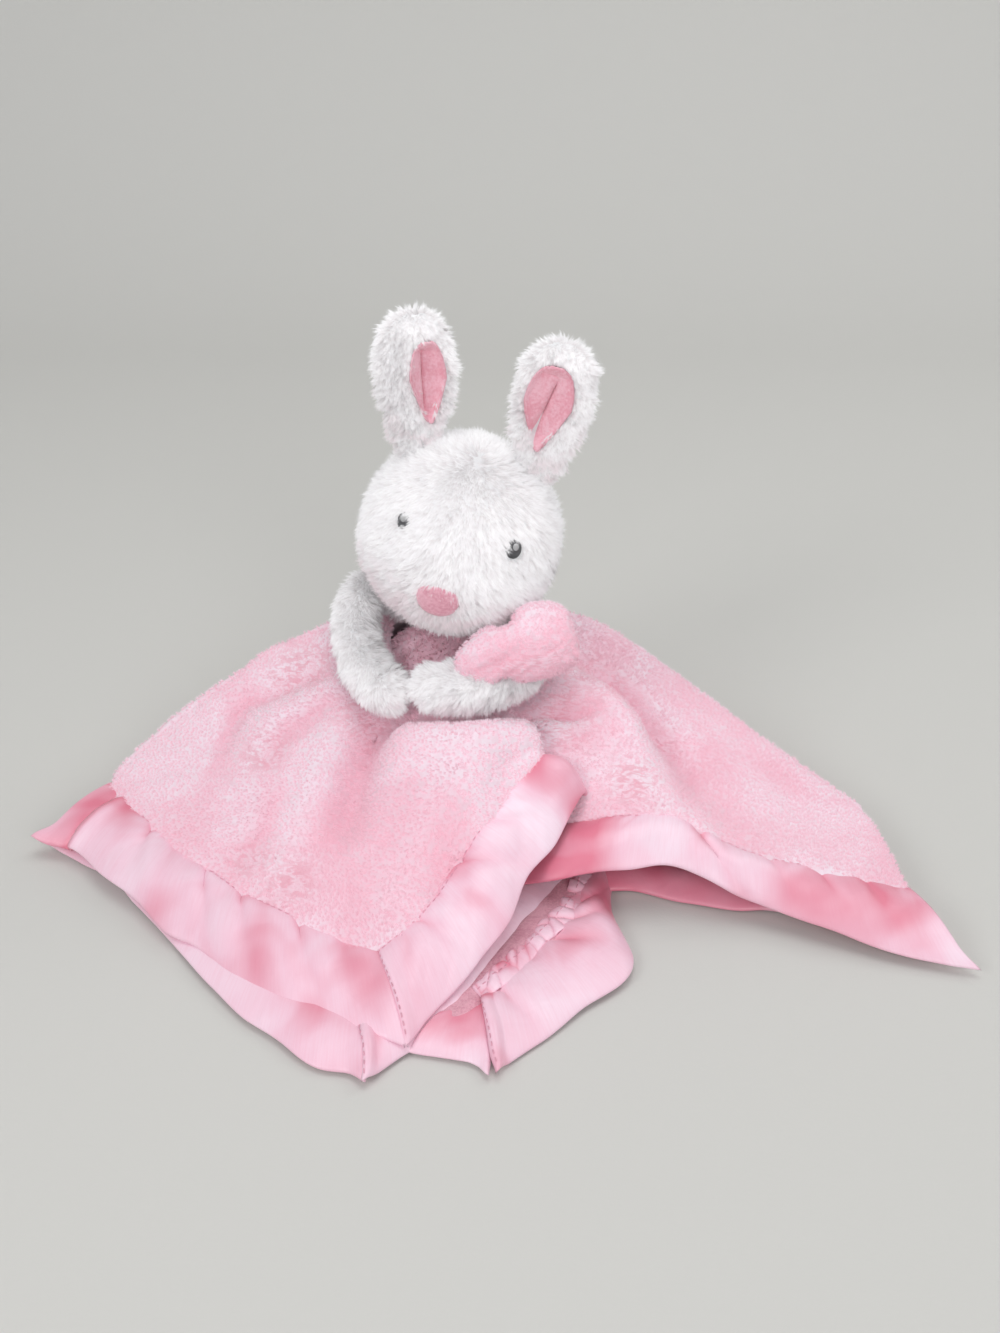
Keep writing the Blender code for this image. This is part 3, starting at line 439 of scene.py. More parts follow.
def makeThread(name, colour, twistScale):
    material, tree, shader = newMaterial(name, colour[:3], 0.5, Sheen_Weight=0.3)
    twist = addNode(tree, "ShaderNodeTexWave", {"Vector": placeIn(tree), "Scale": twistScale,
                                                "Distortion": 1.5, "Detail": 1.0}).outputs[1]
    # the thread darker in the grooves of its twist: painted shade
    dark = tuple(c * 0.8 for c in colour[:3]) + (1,)
    tree.links.new(mixColour(tree, twist, dark, colour), shader.inputs["Base Color"])
    tree.links.new(bumpFrom(tree, twist, 0.0001), shader.inputs["Normal"])
    return material


def makeShortPile(name, low, high, grain, bump, sheen):
    # brushed cloth with no hairs of its own: fine grain over broad zones
    material, tree, shader = newMaterial(name, high[:3], 0.9, Sheen_Weight=sheen,
                                         Specular_IOR_Level=0.2)
    place = placeIn(tree)
    fine = noiseAt(tree, place, 1 / grain, 4.0, Roughness=0.65)
    broad = noiseAt(tree, place, 0.12 / grain, 2.0)
    mask = mathNode(tree, "ADD", mathNode(tree, "MULTIPLY", fine, 0.55),
                    mathNode(tree, "MULTIPLY", broad, 0.45))
    mask = spread(tree, mask, 0.38, 0.62)
    tree.links.new(mixColour(tree, mask, low, high), shader.inputs["Base Color"])
    tree.links.new(bumpFrom(tree, fine, bump), shader.inputs["Normal"])
    return material


def makeStitched(name, dark, light, threadWidth):
    # threads laid side by side, as embroidery is
    material, tree, shader = newMaterial(name, dark[:3], 0.45, Sheen_Weight=0.3)
    turn = addNode(tree, "ShaderNodeMapping", {"Vector": placeIn(tree),
                                               "Rotation": (0, math.radians(8), 0)})
    height = addNode(tree, "ShaderNodeTexWave",
                     {"Vector": turn.outputs[0], "Scale": 0.5 / threadWidth, "Distortion": 1.2,
                      "Detail": 2.0, "Detail Scale": 2.0}, bands_direction="Z").outputs["Fac"]
    # the threads' crowns paler: a painted sheen; the patch keeps its dark colour towards its
    # border
    mask = mathNode(tree, "MULTIPLY", spread(tree, height, 0.45, 1.0, 0.1, 0.9),
                    spread(tree, attributeIn(tree, "inside"), 0.1, 0.5))
    tree.links.new(mixColour(tree, mask, dark, light), shader.inputs["Base Color"])
    tree.links.new(bumpFrom(tree, height, 0.25 * mm), shader.inputs["Normal"])
    return material


fleeceCloth = makeFleeceCloth()
fleecePile = makePile("fleecePile", fleeceLook, 0.5)
plushPile = makePile("plushPile", plushLook, 0.2)
pinkSatin = makeSatin()
seamThread = makeThread("seamThread", (0.88, 0.40, 0.52, 1), 900.0)
plushCloth = makeShortPile("plushCloth", (0.80, 0.80, 0.81, 1), (0.88, 0.88, 0.89, 1),
                           1.6 * mm, 0.5 * mm, 0.3)
liningCloth = makeShortPile("liningCloth", (0.82, 0.36, 0.44, 1), (0.92, 0.54, 0.62, 1),
                            1.1 * mm, 0.3 * mm, 0.5)
# the fleece's reverse: its own dusty pink, made darker still as painted shade for where it lies
# under the top layers
fleeceReverse = makeShortPile("fleeceReverse", (0.62, 0.26, 0.34, 1), (0.77, 0.40, 0.48, 1),
                              0.9 * mm, 0.3 * mm, 0.5)
noseFelt = makeShortPile("noseFelt", (0.72, 0.33, 0.41, 1), (0.87, 0.51, 0.59, 1),
                         1.2 * mm, 0.35 * mm, 0.4)
eyeThread = makeStitched("eyeThread", (0.032, 0.034, 0.040, 1), (0.17, 0.175, 0.19, 1),
                         0.38 * mm)
glintThread = makeStitched("glintThread", (0.88, 0.88, 0.89, 1), (0.95, 0.95, 0.95, 1),
                           0.30 * mm)
print("materials made")


# ---- camera, lamps and floor

# the focal length is in the photo's own pixels, as its height is
view = {"place": (0.014857, -0.5324, 0.369), "down": 31.1, "focal": 1551, "height": 1333,
        "sensor": 36}


def makeCamera():
    data = bpy.data.cameras.new("photoCamera")
    data.sensor_fit = "VERTICAL"
    data.sensor_height = view["sensor"]
    data.lens = view["focal"] / view["height"] * view["sensor"]
    camera = bpy.data.objects.new("photoCamera", data)
    camera.location = view["place"]
    camera.rotation_euler = (math.radians(90 - view["down"]), 0, 0)
    bpy.context.scene.collection.objects.link(camera)
    bpy.context.scene.camera = camera


lamps = {
    "above": {"place": (0.05, 0.0, 1.1), "aim": (0.0, 0.0, 0.0), "size": 0.8, "power": 3.25},
    "leftFront": {"place": (-0.8, -0.8, 0.75), "aim": (0, 0, 0.05), "size": 0.5, "power": 3.6},
    "front": {"place": (0.35, -1.1, 0.65), "aim": (0, 0, 0.05), "size": 0.6, "power": 3.4},
    "rightBack": {"place": (0.75, 0.35, 0.8), "aim": (0, 0, 0.05), "size": 0.5, "power": 1.6},
    "behind": {"place": (-0.2, 1.1, 0.75), "aim": (0, 0, 0.05), "size": 0.8, "power": 2.0},
}


def makeLamps():
    for name, spec in lamps.items():
        data = bpy.data.lights.new(name, "AREA")
        data.shape = "DISK"
        data.size = spec["size"]
        data.energy = spec["power"]
        lamp = bpy.data.objects.new(name, data)
        lamp.location = spec["place"]
        aim = Vector(spec["aim"]) - Vector(spec["place"])
        lamp.rotation_euler = aim.to_track_quat("-Z", "Y").to_euler()
        bpy.context.scene.collection.objects.link(lamp)
    world = bpy.data.worlds.new("studio")
    bpy.context.scene.world = world
    world.use_nodes = True
    back = world.node_tree.nodes["Background"]
    back.inputs[0].default_value = (0.95, 0.96, 1.0, 1)
    back.inputs[1].default_value = 0.5


stageLook = {"floor": (0.62, 0.615, 0.585, 1), "reach": 3.0}


def makeStage():
    # a floor that curves up behind
    material, tree, shader = newMaterial("sweepPaper", stageLook["floor"][:3], 0.75)
    grain = noiseAt(tree, placeIn(tree), 900.0, 2.0)
    tree.links.new(bumpFrom(tree, grain, 0.0001, 0.5), shader.inputs["Normal"])
    half = stageLook["reach"]
    profile = [(-half, 0.0), (0.5, 0.0)]
    for step in range(1, 13):
        angle = math.pi / 2 * step / 12
        profile.append((0.5 + 0.35 * math.sin(angle), 0.35 - 0.35 * math.cos(angle)))
    profile.append((0.85, half))
    floorDrop = -0.0002
    verts = [(x, y, z + floorDrop) for x in (-half, half) for y, z in profile]
    count = len(profile)
    faces = [(i, count + i, count + i + 1, i + 1) for i in range(count - 1)]
    floor = newObject("sweep", verts, faces, material)


makeCamera()
makeLamps()
makeStage()
bpy.context.scene.view_settings.view_transform = "Standard"
print("camera, lamps and floor set")


# ---- pile

tuftLook = {
    "plush": {"hairs": 6, "spread": 0.60 * mm, "width": 0.26 * mm, "lean": 0.9 * mm, "seed": 5},
    "fleece": {"hairs": 5, "spread": 0.60 * mm, "width": 0.24 * mm, "lean": 0.4 * mm, "seed": 6},
}


def makeTuft(name, spec):
    # one tuft a unit high: each hair is a bent blade of three triangles that faces along +Y
    rng = np.random.default_rng(spec["seed"])
    verts, faces, rise = [], [], []
    for hair in range(spec["hairs"]):
        turn = rng.uniform(0, 2 * math.pi)
        face = rng.uniform(-0.5, 0.5)
        root = np.array([math.cos(turn), math.sin(turn)]) * spec["spread"] * rng.uniform(0.3, 1)
        lean = np.array([math.cos(turn), math.sin(turn)]) * spec["lean"] * rng.uniform(-0.5, 0.8)
        side = np.array([math.cos(face), math.sin(face)]) * spec["width"] / 2
        height = rng.uniform(0.7, 1.0)
        first = len(verts)
        for share, wide in ((0.0, 1.0), (0.5, 0.85)):
            spot = root + lean * share ** 2
            verts += [(*(spot + way * wide), height * share) for way in (-side, side)]
        verts.append((*(root + lean), height))
        rise += [0, 0, 0.5, 0.5, 1]
        faces += [(first, first + 3, first + 1), (first, first + 2, first + 3),
                  (first + 2, first + 4, first + 3)]
    tuft = newObject(name, verts, faces, plushPile, False)
    addAttribute(tuft, "hairRise", rise)
    tuft.hide_render = True
    return tuft


def newTree(name, surface, sockets):
    # a geometry tree that takes a surface and these named inputs
    tree = bpy.data.node_groups.new(name, "GeometryNodeTree")
    face = tree.interface
    face.new_socket("Geometry", in_out="OUTPUT", socket_type="NodeSocketGeometry")
    for label, kind in ((surface, "Geometry"), *sockets):
        face.new_socket(label, in_out="INPUT", socket_type="NodeSocket" + kind)
    return tree, addNode(tree, "NodeGroupInput").outputs


def standOn(tree, points, thing, sockets):
    # copies of an object on the points, as real geometry
    copy = addNode(tree, "GeometryNodeObjectInfo", {"Object": thing, "As Instance": True})
    stand = addNode(tree, "GeometryNodeInstanceOnPoints",
                    {"Points": points, "Instance": copy.outputs["Geometry"], **sockets})
    return addNode(tree, "GeometryNodeRealizeInstances", {0: stand.outputs[0]}).outputs[0]


def endTree(tree, geometry, material):
    coat = addNode(tree, "GeometryNodeSetMaterial", {"Geometry": geometry, "Material": material})
    addNode(tree, "NodeGroupOutput", {0: coat.outputs[0]})
    return tree


def turnedBy(tree, rotation, axis, angle):
    twist = addNode(tree, "ShaderNodeCombineXYZ", {axis: angle})
    turn = addNode(tree, "FunctionNodeEulerToRotation", {0: twist.outputs[0]})
    return addNode(tree, "FunctionNodeRotateRotation", {0: rotation, 1: turn.outputs[0]},
                   rotation_space="LOCAL").outputs[0]


def makeGrowthTree():
    tree, given = newTree("furGrowth", "Skin", (
        ("Tuft", "Object"), ("Material", "Material"), ("Tufts per m2", "Float"),
        ("Length", "Float"), ("Length Spread", "Float"), ("Comb", "Float"),
        ("Scatter", "Float"), ("Clump", "Float"), ("Clump Size", "Float"),
        ("Shade Scatter", "Float"), ("Seed", "Int")))

    def stored(name, **settings):
        return addNode(tree, "GeometryNodeInputNamedAttribute", {"Name": name},
                       **settings).outputs["Attribute"]

    def store(geometry, name, value, kind):
        return addNode(tree, "GeometryNodeStoreNamedAttribute",
                       {"Geometry": geometry, "Name": name, "Value": value},
                       data_type=kind, domain="POINT").outputs[0]

    def vectorMath(operation, *values):
        return addNode(tree, "ShaderNodeVectorMath", dict(enumerate(values)),
                       operation=operation).outputs[0]

    def plusShare(way, other, share):
        scaled = addNode(tree, "ShaderNodeVectorMath", {0: other, "Scale": share},
                         operation="SCALE")
        return vectorMath("ADD", way, scaled.outputs[0])

    def randomValue(low, high, offset):
        return addNode(tree, "FunctionNodeRandomValue",
                       {2: low, 3: high, "Seed": mathNode(tree, "ADD", given["Seed"], offset)}
                       ).outputs[1]

    density = mathNode(tree, "MULTIPLY", given["Tufts per m2"], stored("furDensity"))
    scattered = addNode(tree, "GeometryNodeDistributePointsOnFaces",
                        {"Mesh": given["Skin"], "Density": density,
                         "Seed": given["Seed"]}).outputs
    stray = addNode(tree, "FunctionNodeRandomValue", {0: (-1, -1, -1), 1: (1, 1, 1)},
                    data_type="FLOAT_VECTOR").outputs[0]
    noise = addNode(tree, "ShaderNodeTexNoise",
                    {"Vector": addNode(tree, "GeometryNodeInputPosition").outputs[0],
                     "Scale": mathNode(tree, "DIVIDE", 1.0, given["Clump Size"]),
                     "Detail": 1.0})
    lean = vectorMath("SUBTRACT", noise.outputs["Color"], (0.5, 0.5, 0.5))
    comb = stored("comb", data_type="FLOAT_VECTOR")
    way = plusShare(scattered["Normal"], comb, given["Comb"])
    way = plusShare(plusShare(way, stray, given["Scatter"]), lean, given["Clump"])
    # hairs shade as the skin does where they stand, give or take, so that a pile looks soft
    facing = plusShare(scattered["Normal"], stray, given["Shade Scatter"])
    facing = vectorMath("NORMALIZE", plusShare(facing, lean, given["Shade Scatter"]))
    points = store(scattered["Points"], "tuftNormal", facing, "FLOAT_VECTOR")
    points = store(points, "tuftShade", randomValue(0.0, 0.3, 3), "FLOAT")
    along = addNode(tree, "FunctionNodeAlignRotationToVector", {"Vector": way}, axis="Z")
    outward = addNode(tree, "FunctionNodeAlignRotationToVector",
                      {"Rotation": along.outputs[0], "Vector": scattered["Normal"]},
                      axis="Y", pivot_axis="Z")
    rotation = turnedBy(tree, outward.outputs[0], "Z", randomValue(-0.5, 0.5, 5))
    vary = mathNode(tree, "ADD", 1.0, mathNode(tree, "MULTIPLY", randomValue(-1.0, 1.0, 7),
                                               given["Length Spread"]))
    length = mathNode(tree, "MULTIPLY", mathNode(tree, "MULTIPLY", given["Length"], vary),
                      stored("furLength"))
    size = addNode(tree, "ShaderNodeCombineXYZ", {0: 1.0, 1: 1.0, "Z": length})
    real = standOn(tree, points, given["Tuft"], {"Rotation": rotation,
                                                 "Scale": size.outputs[0]})
    soft = addNode(tree, "GeometryNodeSetMeshNormal",
                   {"Mesh": real, "Custom Normal": stored("tuftNormal",
                                                          data_type="FLOAT_VECTOR")},
                   mode="FREE", domain="POINT")
    return endTree(tree, soft.outputs[0], given["Material"])


plushTuft = makeTuft("plushTuft", tuftLook["plush"])
fleeceTuft = makeTuft("fleeceTuft", tuftLook["fleece"])
growthTree = makeGrowthTree()


def grownFrom(thing, tree, name, inputs):
    # what the tree makes of an object, as an object of its own
    modifier = thing.modifiers.new(tree.name, "NODES")
    modifier.node_group = tree
    sockets = {item.name: item.identifier for item in tree.interface.items_tree
               if item.in_out == "INPUT"}
    for key, value in inputs.items():
        modifier[sockets[key]] = value
    bpy.context.view_layer.update()
    graph = bpy.context.evaluated_depsgraph_get()
    mesh = bpy.data.meshes.new_from_object(thing.evaluated_get(graph), depsgraph=graph)
    mesh.name = name
    made = bpy.data.objects.new(name, mesh)
    bpy.context.scene.collection.objects.link(made)
    thing.modifiers.remove(modifier)
    print(name, len(mesh.polygons))
    return made


def growPile(name, skin, body, slot, tuft, material, **inputs):
    # the skin carries furDensity, furLength and comb; it keeps its own shape
    pile = grownFrom(skin, growthTree, name, {
        "Tuft": tuft, "Material": material, "Length Spread": 0.2, "Comb": 1.0, "Scatter": 0.3,
        "Clump": 1.0, "Clump Size": 6 * mm, "Shade Scatter": 0.25, "Seed": 1, **inputs})
    pile.visible_shadow = False     # light soaks into a pile; its skin casts the shadow
    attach(pile, body)


def prepareFur(skin, comb, density=1.0, length=1.0, crest=0.0, crinkle=0.0):
    # what a pile and its material read from the skin, one value at each point
    count = len(skin.data.vertices)
    for name, values in (("furDensity", density), ("furLength", length), ("crest", crest),
                         ("crinkle", crinkle)):
        addAttribute(skin, name, np.broadcast_to(values, count))
    addAttribute(skin, "comb", comb, "FLOAT_VECTOR")


# ---- blanket: lines in shares of the reach and of the neck's height

leftSeam = [(-0.77, -0.19, 0.25), (-0.69, -0.30, 0.25), (-0.58, -0.42, 0.23),
            (-0.45, -0.54, 0.23), (-0.30, -0.64, 0.21), (-0.15, -0.72, 0.20)]
leftEdge = [(-0.90, -0.33, 0.09), (-0.79, -0.41, 0.10), (-0.62, -0.58, 0.10),
            (-0.46, -0.73, 0.09), (-0.27, -0.86, 0.09), (-0.09, -0.92, 0.09)]
frontSeam = [(-0.15, -0.72, 0.20), (-0.06, -0.62, 0.30), (0.02, -0.50, 0.46),
             (0.10, -0.39, 0.62), (0.16, -0.34, 0.73)]
frontEdge = [(-0.09, -0.92, 0.09), (0.03, -0.77, 0.15), (0.13, -0.59, 0.30),
             (0.20, -0.46, 0.43), (0.25, -0.39, 0.57)]
rightSeam = [(0.20, -0.39, 0.36), (0.27, -0.41, 0.44), (0.35, -0.42, 0.48), (0.43, -0.41, 0.48),
             (0.49, -0.43, 0.42), (0.58, -0.47, 0.32), (0.70, -0.49, 0.27), (0.82, -0.51, 0.23),
             (0.91, -0.525, 0.18)]
rightEdge = [(0.19, -0.54, 0.24), (0.25, -0.54, 0.29), (0.33, -0.535, 0.33),
             (0.41, -0.525, 0.34), (0.49, -0.54, 0.27), (0.59, -0.57, 0.19),
             (0.71, -0.62, 0.13), (0.86, -0.68, 0.08), (1.00, -0.72, 0.06)]
frontRays = [
    [(-0.15, 0.12, 0.97), (-0.28, 0.11, 0.92), (-0.43, 0.08, 0.74), (-0.57, 0.02, 0.53),
     (-0.70, -0.07, 0.34)],
    [(-0.16, 0.07, 0.95), (-0.26, 0.03, 0.88), (-0.38, -0.03, 0.74), (-0.49, -0.11, 0.55),
     (-0.60, -0.21, 0.37)],
    [(-0.16, 0.01, 0.94), (-0.24, -0.03, 0.81), (-0.32, -0.11, 0.66), (-0.42, -0.20, 0.50),
     (-0.51, -0.31, 0.35)],
    [(-0.15, -0.04, 0.90), (-0.22, -0.11, 0.77), (-0.28, -0.19, 0.71), (-0.35, -0.29, 0.56),
     (-0.41, -0.43, 0.39)],
    [(-0.13, -0.10, 0.85), (-0.19, -0.17, 0.69), (-0.22, -0.26, 0.61), (-0.26, -0.37, 0.47),
     (-0.28, -0.51, 0.32)],
    [(-0.10, -0.14, 0.81), (-0.135, -0.21, 0.69), (-0.16, -0.29, 0.65), (-0.165, -0.40, 0.55),
     (-0.16, -0.57, 0.35)],
    [(-0.055, -0.16, 0.77), (-0.08, -0.24, 0.73), (-0.08, -0.33, 0.87), (-0.07, -0.42, 0.70),
     (-0.06, -0.52, 0.48)],
    [(-0.01, -0.17, 0.76), (-0.01, -0.26, 0.75), (0.005, -0.33, 0.90), (0.01, -0.39, 0.80),
     (0.015, -0.45, 0.60)],
    [(0.04, -0.16, 0.76), (0.06, -0.25, 0.76), (0.08, -0.31, 0.90), (0.085, -0.345, 0.84),
     (0.09, -0.365, 0.72)],
    [(0.09, -0.14, 0.76), (0.115, -0.23, 0.77), (0.14, -0.285, 0.85), (0.15, -0.31, 0.82),
     (0.155, -0.325, 0.76)],
]
rightRays = [
    [(0.15, -0.10, 0.86), (0.17, -0.17, 0.79), (0.17, -0.24, 0.71), (0.17, -0.30, 0.60),
     (0.18, -0.35, 0.48)],
    [(0.16, -0.07, 0.90), (0.20, -0.15, 0.86), (0.22, -0.20, 0.77), (0.24, -0.27, 0.68),
     (0.26, -0.35, 0.56)],
    [(0.17, -0.04, 0.93), (0.22, -0.13, 0.93), (0.28, -0.19, 0.85), (0.31, -0.26, 0.71),
     (0.33, -0.34, 0.60)],
    [(0.17, -0.01, 0.94), (0.26, -0.09, 0.89), (0.35, -0.18, 0.79), (0.38, -0.26, 0.66),
     (0.41, -0.34, 0.56)],
    [(0.17, 0.02, 0.95), (0.28, -0.05, 0.84), (0.39, -0.15, 0.61), (0.44, -0.24, 0.50),
     (0.47, -0.34, 0.45)],
    [(0.17, 0.05, 0.96), (0.31, -0.02, 0.84), (0.45, -0.11, 0.60), (0.52, -0.22, 0.44),
     (0.56, -0.35, 0.35)],
    [(0.17, 0.07, 0.97), (0.32, 0.03, 0.86), (0.50, -0.06, 0.58), (0.61, -0.19, 0.40),
     (0.67, -0.35, 0.31)],
    [(0.16, 0.10, 0.97), (0.32, 0.07, 0.89), (0.52, 0.00, 0.58), (0.67, -0.13, 0.36),
     (0.78, -0.31, 0.26)],
    [(0.15, 0.13, 0.97), (0.30, 0.10, 0.90), (0.52, 0.02, 0.56), (0.71, -0.12, 0.31),
     (0.87, -0.29, 0.20)],
]
backRidge = [(-0.77, -0.175, 0.23), (-0.70, -0.06, 0.33), (-0.57, 0.03, 0.52),
             (-0.43, 0.09, 0.74), (-0.28, 0.12, 0.92), (-0.15, 0.132, 0.97), (0.00, 0.16, 0.95),
             (0.15, 0.15, 0.95), (0.30, 0.12, 0.88), (0.52, 0.04, 0.54), (0.71, -0.10, 0.29),
             (0.87, -0.27, 0.18)]
backSpread = [(0.012, 0.03), (0.04, 0.06), (0.03, 0.09), (0.075, 0.10), (0.04, 0.09),
              (0.085, 0.10), (0.05, 0.09), (0.08, 0.10), (0.035, 0.09), (0.06, 0.09),
              (0.03, 0.06), (0.012, 0.03)]
underLeftSeam = [(-0.80, -0.21), (-0.67, -0.27), (-0.54, -0.40), (-0.41, -0.57),
                 (-0.28, -0.73), (-0.17, -0.86)]
underLeftEdge = [(-0.89, -0.32), (-0.76, -0.42), (-0.62, -0.57), (-0.47, -0.76),
                 (-0.30, -0.93), (-0.16, -1.00)]
underFrontSeam = [(-0.17, -0.86), (-0.10, -0.70), (0.00, -0.56), (0.07, -0.44), (0.12, -0.37)]
underFrontEdge = [(-0.16, -1.00), (-0.018, -0.878), (0.104, -0.678), (0.205, -0.508),
                  (0.254, -0.425)]
cornerCrease = [(-0.03, -0.85), (0.02, -0.77), (0.08, -0.66), (0.13, -0.57), (0.17, -0.49),
                (0.19, -0.40)]
cornerSeam = [(-0.02, -0.87), (0.05, -0.80), (0.14, -0.68), (0.20, -0.59), (0.25, -0.50),
              (0.27, -0.40)]
cornerEdge = [(-0.09, -0.93), (0.07, -0.98), (0.23, -0.84), (0.34, -0.70), (0.31, -0.53),
              (0.32, -0.41)]
underRightSeam = [(0.25, -0.33), (0.33, -0.34), (0.43, -0.36), (0.55, -0.38), (0.68, -0.41),
                  (0.80, -0.45), (0.90, -0.50)]
underRightEdge = [(0.27, -0.465), (0.36, -0.48), (0.46, -0.51), (0.57, -0.53), (0.69, -0.56),
                  (0.83, -0.61), (0.94, -0.665)]
underBack = [(-0.80, -0.18), (-0.62, 0.09), (-0.32, 0.20), (0.00, 0.24), (0.32, 0.20),
             (0.66, 0.06), (0.90, -0.24)]
underMiddle = [(-0.72, -0.22), (-0.48, -0.30), (-0.25, -0.42), (-0.04, -0.36), (0.18, -0.22),
               (0.50, -0.16), (0.90, -0.34)]
underFront = [(-0.67, -0.27), (-0.41, -0.57), (-0.17, -0.86), (0.00, -0.56), (0.10, -0.38),
              (0.55, -0.38), (0.90, -0.50)]


fleeceCut = {
    "half": 1.6 * mm, "along": 170, "across": 120,
    "lump": 0.5 * mm, "lumpSize": 9 * mm, "roll": 1.3 * mm, "rollSize": 26 * mm, "ease": 26,
}


def fleecePanel(name, lines, spec, folds=(), seed=1, along=None, across=None, hidden=0.0,
                material=None):
    # hidden: the share of the way across, at its far end, that lies under the satin
    over = np.linspace(0, 1, across or spec["across"])
    grid = clothGrid(lines, along or spec["along"], over)
    shown = np.broadcast_to(np.clip((1 - hidden * 0.72 - over) * 60, 0, 1), grid.shape[:2])
    if gridNormals(grid)[..., 2].mean() < 0:
        grid, shown = grid[:, ::-1].copy(), shown[:, ::-1]
    grid = eased(grid, spec["ease"])
    pressFolds(grid, folds)
    normal = gridNormals(grid)
    inner = np.clip(borderDistance(grid) / (8 * mm), 0, 1)
    lumps = spec["lump"] * cloudNoise(grid, spec["lumpSize"], seed)
    lumps = lumps + spec["roll"] * inner * cloudNoise(grid, spec["rollSize"], seed + 7)
    grid = grid + normal * lumps[..., None]
    thing = shellFromGrid(name, grid, roundedHalf(grid, spec["half"]), material or fleeceCloth,
                          wayOf(grid))
    # painted light: paler where the cloth bulges over its smoothed shape, deeper in its hollows
    crest = ((grid - eased(grid, 160)) * gridNormals(grid)).sum(-1) / (1.5 * mm)
    for key, values in (("shown", shown), ("crest", np.clip(crest, -1, 1))):
        addAttribute(thing, key, np.append(values.ravel(), values[1:-1, 1:-1].ravel()))
    return thing, grid


def underSatin(seam, edge, share=0.24, drop=2.6 * mm):
    # a point past each seam point, on the way to the satin's outer edge and a little lower
    seam, edge = np.array(seam, float), np.array(edge, float)
    past = seam + (edge - seam) * share
    past[:, 2] -= drop / neckHeight
    return [tuple(point) for point in past]


satinCut = {
    "half": 2.1 * mm, "step": 0.65 * mm, "columns": 34, "swell": 2.4 * mm, "blunt": 2.4,
    "scallop": 0.35 * mm, "scallopSize": 6.5 * mm, "pucker": 0.75 * mm, "puckerSize": 8 * mm,
    "fold": 2.2 * mm, "foldSize": 24 * mm, "slant": 0.6, "seamDip": 0.8 * mm,
    "edgeWave": 1.8 * mm, "lip": (0.0, 0.0), "overrun": (0.0, 0.0), "darts": (), "tucks": (),
    "crumple": 0.05 * mm, "gather": 0.4 * mm, "stitchIn": 1.5 * mm, "puff": 0.0,
    # the satin's painted light: listed patches of it, and a shift over the whole strip
    "puffSize": 4.0 * mm, "paintedSatinLight": (), "paintedLightBias": 0.0,
    # how far in from the seam each kind of wrinkle reaches, and how long the calm ends are
    "scallopReach": 5 * mm, "puckerReach": 14 * mm, "gatherReach": 4.5 * mm,
    "gatherSize": 2.6 * mm, "gatherGaps": 15 * mm, "crumpleSize": 3.6 * mm,
    "edgeWaveSize": 17 * mm, "calmEnd": 6 * mm, "roundEnd": 0.9 * mm,
}
stitchLines = []


def puffs(u, v, size, seed):
    # gathered cloth: uneven puffs with thin creases between them
    rng = np.random.default_rng(seed)
    spots = np.stack(np.meshgrid(np.arange(-size, u.max() + size, size),
                                 np.arange(-size, v.max() + size, size * 2.3),
                                 indexing="ij"), -1).reshape(-1, 2)
    spots = spots + rng.uniform(-0.6, 0.6, spots.shape) * [size * 1.2, size * 2.4]
    rise = rng.uniform(0.15, 1.0, len(spots))
    off = np.stack([u, v], -1)[..., None, :] - spots
    away = np.hypot(off[..., 0] + off[..., 1] * 0.5, off[..., 1] / 1.7)
    order = np.argsort(away, axis=-1)[..., :2]
    near = np.take_along_axis(away, order, -1)
    gap = np.clip((near[..., 1] - near[..., 0]) / (0.55 * size), 0, 1) ** 0.6
    return rise[order[..., 0]] * gap, gap


